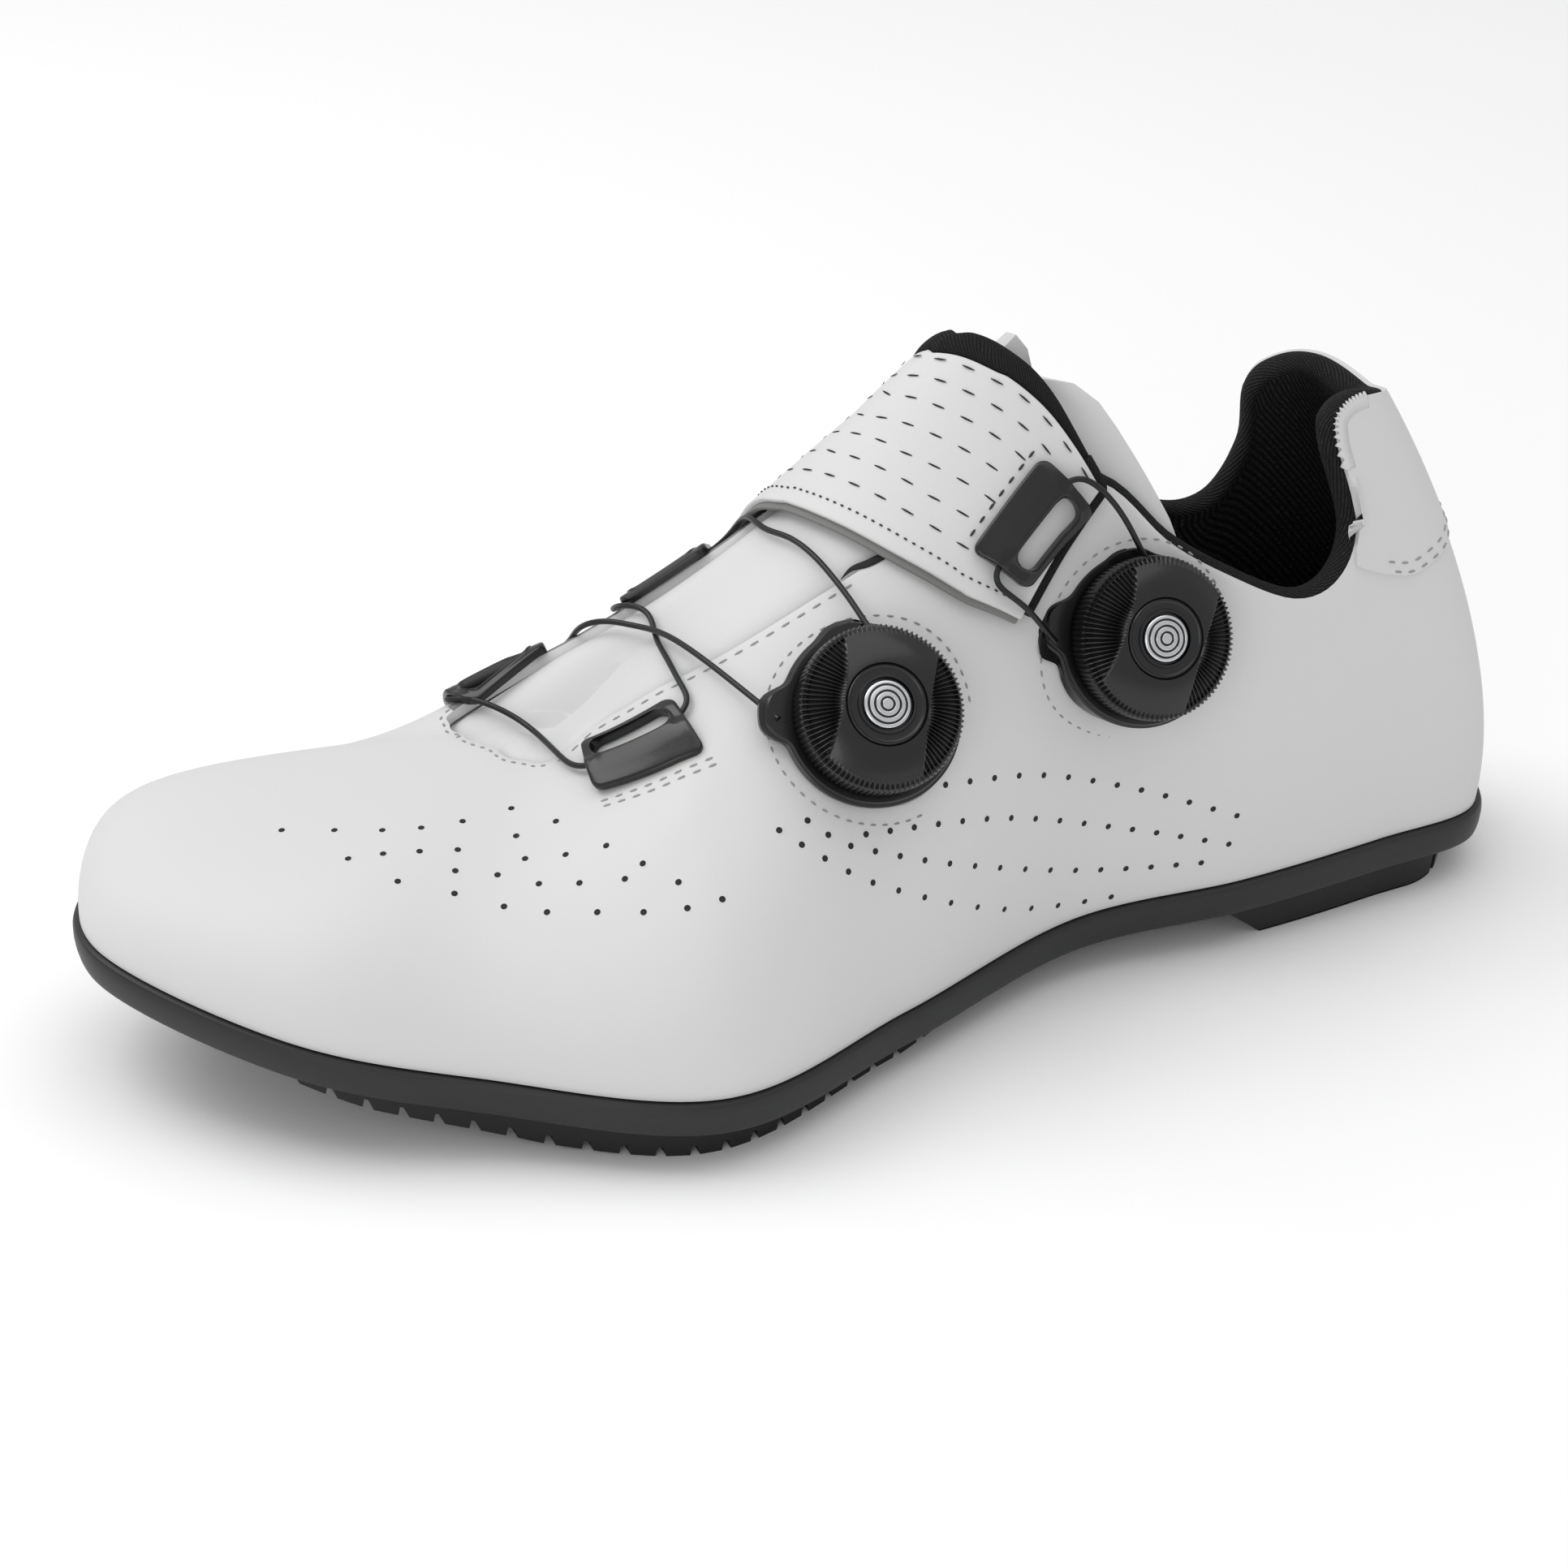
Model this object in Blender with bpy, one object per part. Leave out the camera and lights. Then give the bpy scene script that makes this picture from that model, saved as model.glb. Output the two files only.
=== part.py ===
# Cycling shoe for the left foot: a lasted upper on a rubber-edged sole, closed by two lace dials.
# Metres, +X towards the toe, +Y to the outer side, +Z up, origin at the middle of the heel's flat rest.

import math

import bmesh
import bpy
import numpy as np

# Last
LENGTH = 0.288
BALL_WIDTH = 0.102
SEAT_HEIGHT = 0.0186
INSTEP_HEIGHT = 0.1103
LAST_PITCH = math.radians(1.17)
PITCH_CENTRE = 0.547

# Each row of the last runs from the featherline to the crest: place along the length, place across
# the ball width, height of the featherline in seat heights, place of its crest point along the
# length, lean in degrees, reach of the lower and upper handle, and fall of the upper handle.
LAST_ROWS = (
    # name              along   side    rise  crest  lean  low   high   fall
    ("heel_back",       0.000,  0.020,  0.99, 0.213, 6.8,  0.32, 0.28,  0.00),
    ("heel_outer",      0.027,  0.227,  1.00, 0.220, 7.0,  0.38, 0.325, 0.00),
    ("seat_outer",      0.115,  0.275,  1.00, 0.239, 5.0,  0.42, 0.46,  0.00),
    ("ankle_outer",     0.230,  0.303,  0.95, 0.310, 5.0,  0.45, 0.50,  0.00),
    ("waist_outer",     0.360,  0.288,  0.85, 0.400, 8.0,  0.45, 0.55,  0.00),
    ("instep_outer",    0.510,  0.442,  0.74, 0.520, 10.0, 0.50, 0.55,  0.00),
    ("ball_outer",      0.660,  0.595,  0.77, 0.620, 8.0,  0.52, 0.55,  0.00),
    ("toe_outer",       0.800,  0.400,  0.88, 0.672, 6.0,  0.60, 0.60,  0.06),
    ("toe_outer_round", 0.912,  0.247,  1.23, 0.680, 6.5,  0.72, 0.70,  0.15),
    ("toe_tip",         1.000, -0.082,  1.55, 0.680, 2.0,  0.73, 0.67,  0.22),
    ("toe_inner_round", 0.970, -0.367,  1.42, 0.680, 6.5,  0.90, 0.92,  0.21),
    ("toe_inner",       0.860, -0.397,  1.02, 0.672, 9.0,  0.70, 0.81,  0.09),
    ("ball_inner",      0.725, -0.425,  0.76, 0.620, 8.0,  0.52, 0.55,  0.00),
    ("instep_inner",    0.550, -0.345,  0.75, 0.520, 10.0, 0.50, 0.55,  0.00),
    ("waist_inner",     0.380, -0.285,  0.86, 0.400, 8.0,  0.45, 0.55,  0.00),
    ("ankle_inner",     0.240, -0.290,  0.94, 0.310, 5.0,  0.45, 0.50,  0.00),
    ("seat_inner",      0.115, -0.270,  0.99, 0.240, 5.0,  0.42, 0.46,  0.00),
    ("heel_inner",      0.030, -0.200,  1.00, 0.220, 6.8,  0.37, 0.34,  0.00),
)
TOE_ROW = 9
ROW_COUNT = len(LAST_ROWS)

# Crest line of the last: place along the length, place across, height in instep heights.
CREST_ROWS = (
    (0.16,  0.000, 1.324),
    (0.24,  0.000, 1.296),
    (0.32, -0.020, 1.260),
    (0.40, -0.050, 1.153),
    (0.46, -0.070, 1.000),
    (0.54, -0.090, 0.814),
    (0.62, -0.120, 0.642),
    (0.68, -0.145, 0.494),
)

# Edge of the opening, collar and throat in one: row it starts from at the featherline, row it ends
# on, and level on the way up to the crest.
OPENING_ROWS = (
    (0.0,   0.0,   0.570),
    (1.1,   1.3,   0.584),
    (1.6,   1.87,  0.573),
    (1.95,  2.05,  0.530),
    (2.35,  2.08,  0.420),
    (2.75,  2.32,  0.358),
    (3.05,  2.65,  0.347),
    (3.35,  3.05,  0.395),
    (3.65,  3.40,  0.466),
    (3.95,  3.70,  0.580),
    (4.35,  4.20,  0.668),
    (4.90,  4.85,  0.750),
    (5.50,  5.50,  0.818),
    (6.10,  6.15,  0.878),
    (6.55,  6.55,  0.900),
    (6.95,  6.95,  0.872),
    (7.60,  7.60,  0.910),
    (9.00,  9.20,  0.930),
    (10.30, 10.40, 0.912),
    (10.90, 11.00, 0.830),
    (11.35, 11.35, 0.745),
    (12.00, 12.05, 0.670),
    (12.60, 12.55, 0.742),
    (13.20, 13.15, 0.768),
    (13.70, 13.80, 0.710),
    (14.05, 14.35, 0.575),
    (14.40, 14.85, 0.430),
    (14.80, 15.25, 0.345),
    (15.25, 15.62, 0.347),
    (15.65, 15.90, 0.430),
    (16.05, 16.00, 0.520),
    (16.50, 16.30, 0.558),
    (17.10, 16.95, 0.575),
    (18.0,  18.0,  0.570),
)

# Walls and clearances
CLEARANCE = 0.0003
SHEET_CLEARANCE = 0.0006
UPPER_WALL = 0.0022
HEEL_PANEL_STEP = 0.0008
HEEL_PANEL_REACH = (1.95, 2.25)
LINING_WALL = 0.0036
LINING_EDGE_WALL = 0.0013
LINING_THIN_ROWS = (2.7, 3.4)
LINING_PROUD = 0.0012
LINING_LEVELS = (0.0, 0.26, 0.52, 0.76, 0.95)
LINING_FOOT = 0.15
LINING_REACH = (14.2, 3.9)
INSOLE_THICKNESS = 0.0040
TONGUE_WALL = 0.0024
TONGUE_LAP = 0.085
THROAT_FLUSH = 0.0006
STRAP_WALL = 0.0022
STRAP_RIM_WIDTH = 0.0042

# Upper mesh: columns round the featherline, and levels up the wall with a pair at the heel seam.
COLUMNS = 80
UPPER_LEVELS = (0.0, 0.12, 0.28, 0.44, 0.60, 0.62, 0.75, 0.88, 1.0)
HEEL_SEAM_LEVEL = 0.61

# Sole: the band's section as outward reach and share of the band height, top to bottom.
BAND_HEIGHT = 0.0073
BAND_REACH = 0.0014
BAND_SECTION = ((0.15, 0.0), (0.85, 0.06), (1.0, 0.38), (0.55, 0.86), (-0.35, 1.0))
SOLE_LANDING = 0.0014
TREAD_DEPTH = 0.0074
TREAD_INSET = 0.0035
LUG_PITCH = 0.0088
LUG_GROOVE = 0.0021
LUG_DEPTH = 0.0024
LUG_RAMP = 0.0004
CHANNEL_WIDTH = 0.008
# Forefoot tread: place along the length and share of the tread depth there.
TREAD_ROWS = (
    (0.385, 0.25), (0.46, 0.55), (0.54, 0.95), (0.62, 1.0), (0.76, 1.0), (0.86, 0.72), (0.925, 0.25),
)
HEEL_BLOCK_LEVELS = (0.0, 0.55, 1.0)
HEEL_BLOCK = (0.028, 0.238)
HEEL_BLOCK_INSET = 0.0022
HEEL_BLOCK_TAPER = 0.0016
HEEL_FRONT_SLANT = 0.0095
HEEL_BLOCK_ROUND = 0.45
HEEL_BLOCK_BACK = 0.25

# Tongue's top edge: place across the last (-1 inner featherline, 0 crest, 1 outer featherline)
# and place along its length.
TONGUE_TOP = (
    (-0.62, 0.338), (-0.45, 0.350), (-0.30, 0.362), (-0.22, 0.366), (-0.16, 0.388), (-0.06, 0.403),
    (0.06, 0.406), (0.17, 0.396), (0.24, 0.368), (0.30, 0.357), (0.42, 0.346), (0.55, 0.333),
)
TONGUE_TUCK = 0.62
TONGUE_SETTLE = (0.41, 0.50)
TONGUE_HEAD = (0.34, 0.67, 1.0)
TONGUE_TUCK_LINES = (1, 0.8, 0.6, 0.4, 0.2, 0)
# How far the tongue has risen at each line in from the seam, on the outer and the inner side.
TONGUE_RISE = {1: (0.0, 0.0, 0.8, 1.0, 1.0, 1.0), -1: (0.0, 0.0, 0.2, 0.8, 1.0, 1.0)}
THROAT_REACH = (4.3, 13.75)
THROAT_POLE = 0.012
SEAM_GAP = 0.004
SEAM_RISE = 0.022

# Strap: place across the last, and where its front and rear edges lie along the length.
STRAP_ROWS = (
    (0.52,  0.4330, 0.3735),
    (0.43,  0.4580, 0.3810),
    (0.35,  0.4750, 0.3875),
    (0.27,  0.4890, 0.3950),
    (0.18,  0.5010, 0.4035),
    (0.08,  0.5115, 0.4110),
    (-0.02, 0.5185, 0.4190),
    (-0.12, 0.5195, 0.4240),
    (-0.30, 0.5170, 0.4250),
    (-0.50, 0.5110, 0.4180),
    (-0.66, 0.5040, 0.4080),
)
STRAP_END_SLANT = 0.095
STRAP_SHARES = (0.0, 0.2, 0.4, 0.6, 0.8, 1.0)
STRAP_DEPTH = 0.1
STRAP_RIM_ROUND = (0.9, 1.0, 0.7)
STRAP_LIFT = 0.0008

# Wire guides: row and level of the front end and of the rear end, length, width, the side of its
# slot (1 or -1), and how far the flange leans back for each metre across.
GUIDES = {
    "guide_lateral":      (6.56,  0.785, 5.88,  0.752, 0.0225, 0.0145, -1, 0.30),
    "guide_medial_front": (11.62, 0.640, 12.16, 0.575, 0.0215, 0.0135, 1,  0.0),
    "guide_medial_rear":  (12.47, 0.650, 12.93, 0.680, 0.0208, 0.0135, 1,  0.0),
    "guide_strap":        (4.34,  0.572, 3.91,  0.607, 0.0218, 0.0130, 1,  0.0),
}
GUIDE_ENDS = (-0.5, -0.45, -0.25, 0.0, 0.25, 0.45, 0.5)
GUIDE_END_TRIM = 0.85
GUIDE_FLANGE = 0.0018
GUIDE_ROOF = 0.0038
GUIDE_LIP = 0.0030
GUIDE_SLOT = 0.0038
GUIDE_SLOT_REACH = 0.74
GUIDE_SLOT_PLACE = 0.46
GUIDE_CHANNEL = 0.0024
GUIDE_CHANNEL_PLACE = -0.08
CHANNEL_HEIGHT = 0.0012

# Lace dials: row and level of the middle, and the turn of the first lace port in degrees. The second
# port is further round and shorter.
DIALS = (("dial_front", 5.06, 0.525, -40.0), ("dial_rear", 3.66, 0.362, -30.0))
DIAL_SEAT_RINGS = (0.35, 0.7, 1.0)
DIAL_RADIUS = 0.0152
DIAL_FLANGE = 0.0016
DIAL_BASE_TOP = 0.0034
# The base's shoulder: how much of the flange has gone at a share of the height.
DIAL_SHOULDER = ((0.3, 0.7), (1.0, 1.0))
DIAL_EAR_SHOULDER = 0.7
DIAL_BEVEL = 0.0008
DIAL_STEP = 0.0006
DIAL_CAP_RISE = (0.0002, 0.0006)
DIAL_RIM = 0.0062
DIAL_DOME = 0.0032
DIAL_HUB = 0.0060
DIAL_RECESS = 0.0007
DIAL_CAP_RADIUS = 0.0045
DIAL_PORT_TURN = 72
DIAL_EARS = (0.0042, 0.0012)
DIAL_EAR_SPREAD = math.radians(15)
DIAL_SIDES = 30

# Laces: each point is a row, level and height over the last in millimetres; between the groups the
# lace runs through the named guide, towards the toe (1) or away from it (-1).
LACE_RADIUS = 0.0006
CHANNEL_STEPS = (-0.63, -0.3, 0.0, 0.3, 0.63)
LACE_LOWER = (
    ((5.58, 0.662, 4.4), (5.64, 0.720, 3.4), (5.72, 0.790, 2.9), (5.79, 0.860, 2.7), (5.86, 0.930, 2.7),
     (5.92, 0.985, 2.8), (12.10, 0.940, 2.6), (12.14, 0.860, 2.2), (12.14, 0.760, 1.9)),
    ("guide_medial_front", 1),
    ((11.42, 0.730, 1.8), (11.28, 0.800, 1.7), (11.05, 0.880, 1.7), (9.60, 0.965, 1.7), (7.15, 0.925, 1.7),
     (6.86, 0.868, 1.8)),
    ("guide_lateral", -1),
    ((5.80, 0.815, 1.7), (5.84, 0.871, 1.3), (5.88, 0.926, 1.1), (5.94, 0.985, 1.0), (12.23, 0.940, 1.0),
     (12.27, 0.850, 1.4), (12.28, 0.770, 1.8)),
    ("guide_medial_rear", -1),
    ((12.97, 0.790, 1.9), (12.93, 0.880, 1.7), (5.13, 0.980, 1.6), (5.10, 0.930, 1.6), (5.06, 0.875, 1.7),
     (5.04, 0.803, 2.2), (5.03, 0.755, 3.2), (5.03, 0.720, 4.3)),
)
LACE_UPPER = (
    ((4.20, 0.454, 2.9), (4.25, 0.483, 4.1), (4.31, 0.518, 4.9)),
    ("guide_strap", -1),
    ((3.76, 0.585, 4.8), (3.70, 0.555, 4.5), (3.64, 0.517, 3.9), (3.61, 0.490, 3.3)),
)
LACE_SPACING = 0.0038
LACE_SMOOTHING = 9
LACE_FINENESS = 20
LACE_SHARES = 4

# Finishes: colour, roughness, metallic
FINISHES = {
    "synthetic_leather": ((0.80, 0.80, 0.80), 0.45, 0.0),
    "mesh_fabric": ((0.012, 0.012, 0.012), 0.90, 0.0),
    "moulded_nylon": ((0.020, 0.020, 0.020), 0.42, 0.0),
    "rubber": ((0.030, 0.030, 0.030), 0.60, 0.0),
    "eva_foam": ((0.020, 0.020, 0.020), 0.90, 0.0),
    "aluminium": ((0.80, 0.80, 0.80), 0.30, 1.0),
    "steel_cable": ((0.015, 0.015, 0.015), 0.35, 0.6),
}


def catmull(points, places, closed=False):
    """Points read from a smooth curve through the given ones."""
    count = len(points)
    places = np.asarray(places, float)
    start = np.floor(places).astype(int)
    part = (places - start)[..., None]

    def pick(index):
        return points[index % count] if closed else points[np.clip(index, 0, count - 1)]

    a, b, c, d = pick(start - 1), pick(start), pick(start + 1), pick(start + 2)
    return 0.5 * (2 * b + (c - a) * part + (2 * a - 5 * b + 4 * c - d) * part ** 2
                  + (3 * b - a - 3 * c + d) * part ** 3)


def smooth(value, low, high):
    """Soft step from 0 at low to 1 at high."""
    share = np.clip((np.asarray(value, float) - low) / (high - low), 0, 1)
    return share * share * (3 - 2 * share)


ROW_TABLE = np.array([row[1:] for row in LAST_ROWS], float)
CREST_TABLE = np.array(CREST_ROWS, float)
OPENING_TABLE = np.array(OPENING_ROWS, float)
CREST_END = CREST_ROWS[-1][0]
UP = np.array([0.0, 0.0, 1.0])


def last_row(row):
    values = np.array(catmull(ROW_TABLE, row, closed=True))
    values[..., 3] = np.minimum(values[..., 3], CREST_END)
    return values


def feather(row):
    values = last_row(row)
    return np.stack([values[..., 0] * LENGTH, values[..., 1] * BALL_WIDTH, values[..., 2] * SEAT_HEIGHT], -1)


def crest(along):
    place = np.interp(along, CREST_TABLE[:, 0], np.arange(len(CREST_TABLE)))
    values = catmull(CREST_TABLE, np.clip(place, 0, len(CREST_TABLE) - 1.0001))
    return np.stack([along * LENGTH, values[..., 1] * BALL_WIDTH, values[..., 2] * INSTEP_HEIGHT], -1)


def last_surface(row, level):
    """Point of the last on a row, at a level from 0 at the featherline to 1 at the crest."""
    row, level = np.broadcast_arrays(np.asarray(row, float), np.asarray(level, float))
    values = last_row(row)
    foot, top = feather(row), crest(values[..., 3])
    outward = foot - top
    outward[..., 2] = 0
    reach = np.maximum(np.linalg.norm(outward, axis=-1, keepdims=True), 1e-9)
    outward = outward / reach
    rise = (top - foot)[..., 2:3]
    lean = np.radians(values[..., 4:5])
    low = foot + values[..., 5:6] * rise * (np.cos(lean) * UP + np.sin(lean) * outward)
    high = top + values[..., 6:7] * reach * outward - values[..., 7:8] * rise * UP
    t = level[..., None]
    return (1 - t) ** 3 * foot + 3 * (1 - t) ** 2 * t * low + 3 * (1 - t) * t ** 2 * high + t ** 3 * top


def last_normal(row, level):
    row, level = np.broadcast_arrays(np.asarray(row, float), np.asarray(level, float))
    low = np.clip(level - 0.001, 0, 0.985)
    along = last_surface(row - 0.01, low + 0.001) - last_surface(row + 0.01, low + 0.001)
    upward = last_surface(row, low + 0.002) - last_surface(row, low)
    out = np.cross(along, upward)
    return out / np.maximum(np.linalg.norm(out, axis=-1, keepdims=True), 1e-12)


def stand(points):
    """Pitch the last to its standing tilt and put the origin at the heel's rest."""
    points = np.asarray(points, float)
    ahead = points[..., 0] - PITCH_CENTRE * LENGTH
    x = ahead * math.cos(LAST_PITCH) - points[..., 2] * math.sin(LAST_PITCH) + PITCH_CENTRE * LENGTH
    z = ahead * math.sin(LAST_PITCH) + points[..., 2] * math.cos(LAST_PITCH)
    origin = 0.5 * (HEEL_BLOCK[0] + HEEL_BLOCK[1]) * LENGTH - 0.5 * HEEL_FRONT_SLANT
    return np.stack([x - origin, points[..., 1], z], -1)


def over_last(row, level, height):
    """Standing point at a height over the last's skin."""
    height = np.asarray(height, float)[..., None]
    return stand(last_surface(row, level) + last_normal(row, level) * height)


OUTER_ROWS = np.linspace(0, TOE_ROW, 900)
INNER_ROWS = np.linspace(TOE_ROW, ROW_COUNT, 900)
OUTER_CRESTS = last_row(OUTER_ROWS)[:, 3]
INNER_CRESTS = last_row(INNER_ROWS)[:, 3]


def across(along, side):
    """Row and level at a crest place along the length and a place across from -1 to 1."""
    along, side = np.broadcast_arrays(np.asarray(along, float), np.asarray(side, float))
    outer = np.interp(along, OUTER_CRESTS, OUTER_ROWS)
    inner = np.interp(-along, -INNER_CRESTS, INNER_ROWS)
    return np.where(side >= 0, outer, inner), 1 - np.abs(side)


def spread_rows(count):
    """Rows at even steps along the featherline, as many on the outer side as on the inner."""
    rows = []
    for first, last in ((0, TOE_ROW), (TOE_ROW, ROW_COUNT)):
        fine = np.linspace(first, last, 800)
        steps = np.linalg.norm(np.diff(feather(fine), axis=0), axis=1)
        run = np.concatenate([[0], np.cumsum(steps)])
        rows.append(np.interp(np.linspace(0, run[-1], count // 2 + 1)[:-1], run, fine))
    return np.concatenate(rows)


def opening(row):
    """Row and level of the opening's edge above a row of the featherline."""
    place = np.interp(np.asarray(row, float) % ROW_COUNT, OPENING_TABLE[:, 0], np.arange(len(OPENING_TABLE)))
    values = catmull(OPENING_TABLE, np.clip(place, 0, len(OPENING_TABLE) - 1.0001))
    return values[..., 1], values[..., 2]


def opening_at(row):
    """Level of the opening's edge on a row, where the edge runs forward."""
    return np.interp(row, OPENING_TABLE[:, 1], OPENING_TABLE[:, 2])


def finish(name, mesh_or_bmesh, finish_name, smooth_angle=40):
    """Object with its own Principled material, faces out and round parts shaded smooth."""
    mesh = mesh_or_bmesh
    if isinstance(mesh_or_bmesh, bmesh.types.BMesh):
        bmesh.ops.recalc_face_normals(mesh_or_bmesh, faces=mesh_or_bmesh.faces)
        mesh = bpy.data.meshes.new(name)
        mesh_or_bmesh.to_mesh(mesh)
        mesh_or_bmesh.free()
        mesh.shade_smooth()
        mesh.set_sharp_from_angle(angle=math.radians(smooth_angle))
    colour, roughness, metallic = FINISHES[finish_name]
    material = bpy.data.materials.new(name + "_" + finish_name)
    material.use_nodes = True
    shader = material.node_tree.nodes["Principled BSDF"]
    shader.inputs["Base Color"].default_value = (*colour, 1)
    shader.inputs["Roughness"].default_value = roughness
    shader.inputs["Metallic"].default_value = metallic
    mesh.materials.append(material)
    thing = bpy.data.objects.new(name, mesh)
    bpy.context.collection.objects.link(thing)
    return thing


def grid_faces(work, corners):
    """Quads over a grid of vertices; a quad with merged corners becomes a triangle."""
    for i in range(len(corners) - 1):
        for j in range(len(corners[i]) - 1):
            ring = [corners[i][j], corners[i + 1][j], corners[i + 1][j + 1], corners[i][j + 1]]
            ring = list(dict.fromkeys(ring))
            if len(ring) > 2 and not work.faces.get(ring):
                work.faces.new(ring)


def shared_vertices(work, points, known, key):
    """Vertices of a grid of points; points at one place share a vertex."""
    grid = []
    for column in points:
        line = []
        for point in column:
            place = (key, *(int(round(value * 1e6)) for value in point))
            if place not in known:
                known[place] = work.verts.new(point)
            line.append(known[place])
        grid.append(line)
    return grid


def sheet(name, outer, inner, finish_name, closed=False, merged=False):
    """Solid between two grids of points, one column after another."""
    work = bmesh.new()
    known = {}
    faces = []
    for key, points in (("outer", outer), ("inner", inner)):
        if merged:
            grid = shared_vertices(work, points, known, key)
        else:
            grid = [[work.verts.new(point) for point in column] for column in points]
        faces.append(grid + [grid[0]] if closed else grid)
    for grid in faces:
        grid_faces(work, grid)
    top, under = faces
    grid_faces(work, [[a[0], b[0]] for a, b in zip(top, under)])
    if not merged:
        grid_faces(work, [[a[-1], b[-1]] for a, b in zip(top, under)])
    if not closed:
        for end in (0, -1):
            grid_faces(work, [[a, b] for a, b in zip(top[end], under[end])])
    return finish(name, work, finish_name)


def outline(row, reach, drop):
    """Loop beside the featherline: reach outward in plan and drop below it."""
    step = feather(row + 0.01) - feather(row - 0.01)
    out = np.stack([step[..., 1], -step[..., 0], np.zeros(len(step))], -1)
    out /= np.linalg.norm(out, axis=-1, keepdims=True)
    reach, drop = (np.broadcast_to(value, row.shape)[:, None] for value in (reach, drop))
    return stand(feather(row)) - reach * out - drop * UP


def stack(name, loops, finish_name):
    """Solid through a stack of loops; its ends are strips between the outer and inner side."""
    work = bmesh.new()
    rings = [[work.verts.new(point) for point in loop] for loop in loops]
    count = len(rings[0])
    grid_faces(work, [ring + [ring[0]] for ring in rings])
    half = count // 2
    for ring in (rings[0], rings[-1]):
        for j in range(half):
            corners = [ring[j], ring[j + 1], ring[(count - j - 1) % count], ring[(count - j) % count]]
            work.faces.new(list(dict.fromkeys(corners)))
    return finish(name, work, finish_name)


def edge_columns(rows):
    """Rows and levels from the featherline to the opening's edge, one column for each row."""
    to_row, level = opening(rows)
    shares = np.array(UPPER_LEVELS)
    to_row = np.where(np.abs(to_row - rows) > TOE_ROW, to_row - ROW_COUNT, to_row)
    grid_rows = rows[:, None] + (to_row - rows)[:, None] * shares ** 2
    return grid_rows, level[:, None] * shares, level


def make_upper(rows):
    grid_rows, levels, edge = edge_columns(rows)
    heel = np.minimum(rows, ROW_COUNT - rows)
    panel = 1 - smooth(heel, *HEEL_PANEL_REACH)
    step = HEEL_PANEL_STEP * panel[:, None] * (np.array(UPPER_LEVELS) > HEEL_SEAM_LEVEL)
    outer = over_last(grid_rows, levels, step)
    inner = over_last(grid_rows, levels, np.full(levels.shape, -UPPER_WALL))
    inner[:, 0, 2] = outer[:, 0, 2]
    sheet("upper", outer, inner, "synthetic_leather", closed=True)


def lining_wall(rows):
    """Lining is padded round the heel and thin where it runs forward under the strap."""
    heel = np.minimum(rows % ROW_COUNT, ROW_COUNT - rows % ROW_COUNT)
    return LINING_WALL + (LINING_EDGE_WALL - LINING_WALL) * smooth(heel, *LINING_THIN_ROWS)


def beyond_edge(rows, distance):
    """Row and level at a distance past the opening's edge, square to it along the skin."""
    row, level = opening(rows)
    row_on, level_on = opening(rows + 0.02)
    row_back, level_back = opening(rows - 0.02)
    by_row = (last_surface(row + 0.02, level) - last_surface(row - 0.02, level)) / 0.04
    by_level = (last_surface(row, level + 0.005) - last_surface(row, level - 0.005)) / 0.01
    run = (row_on - row_back + 9) % ROW_COUNT - 9
    along = by_row * run[:, None] + by_level * (level_on - level_back)[:, None]
    side = np.cross(along, last_normal(row, level))
    side = side / np.linalg.norm(side, axis=1, keepdims=True) * distance
    moved = np.array([np.linalg.lstsq(np.stack([a, b], -1), c, rcond=None)[0]
                      for a, b, c in zip(by_row, by_level, side)])
    return row + moved[:, 0], level + moved[:, 1]


def make_lining(rows):
    begin, end = LINING_REACH
    kept = np.concatenate([rows[rows >= begin], rows[rows <= end]])
    to_row, level = opening(kept)
    to_row = np.where(np.abs(to_row - kept) > TOE_ROW, to_row - ROW_COUNT, to_row)
    shares = np.array(LINING_LEVELS)
    levels = LINING_FOOT + (level[:, None] - LINING_FOOT) * shares
    grid_rows = kept[:, None] + (to_row - kept)[:, None] * (levels / level[:, None]) ** 2
    last_rows, last_levels = beyond_edge(kept, LINING_PROUD)
    grid_rows = np.concatenate([grid_rows, last_rows[:, None]], axis=1)
    levels = np.concatenate([levels, last_levels[:, None]], axis=1)
    skin = -(UPPER_WALL + CLEARANCE)
    wall = lining_wall(kept)[:, None] * np.ones(levels.shape[1])
    outer = over_last(grid_rows, levels, np.full(levels.shape, skin))
    inner = over_last(grid_rows, levels, skin - wall)
    sheet("collar_lining", outer, inner, "mesh_fabric")


def make_insole(rows):
    inside = UPPER_WALL + SHEET_CLEARANCE
    loops = (
        outline(rows, -inside, 0.0),
        outline(rows, -inside, -INSOLE_THICKNESS * 0.8),
        outline(rows, -inside - INSOLE_THICKNESS * 0.4, -INSOLE_THICKNESS),
    )
    stack("insole", loops, "eva_foam")


def make_sole(rows):
    loops = [outline(rows, -UPPER_WALL - SOLE_LANDING, CLEARANCE)]
    for reach, drop in BAND_SECTION:
        loops.append(outline(rows, reach * BAND_REACH, CLEARANCE + drop * BAND_HEIGHT))
    stack("sole", loops, "rubber")


def sole_underside(x):
    """Outer and inner edge of the sole's underside at a standing place along X."""
    rows = np.linspace(0, ROW_COUNT, 1441)
    loop = outline(rows, BAND_SECTION[-1][0] * BAND_REACH, CLEARANCE + BAND_HEIGHT)
    half = len(rows) // 2
    outer, inner = loop[:half + 1], loop[half:][::-1]
    edges = []
    for side in (outer, inner):
        order = np.argsort(side[:, 0])
        edges.append(np.stack([np.interp(x, side[order, 0], side[order, axis]) for axis in (1, 2)], -1))
    return edges


def tread_place(share):
    """Standing X of a share of the length on the underside."""
    return stand([share * LENGTH, 0, 0])[0]


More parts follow.
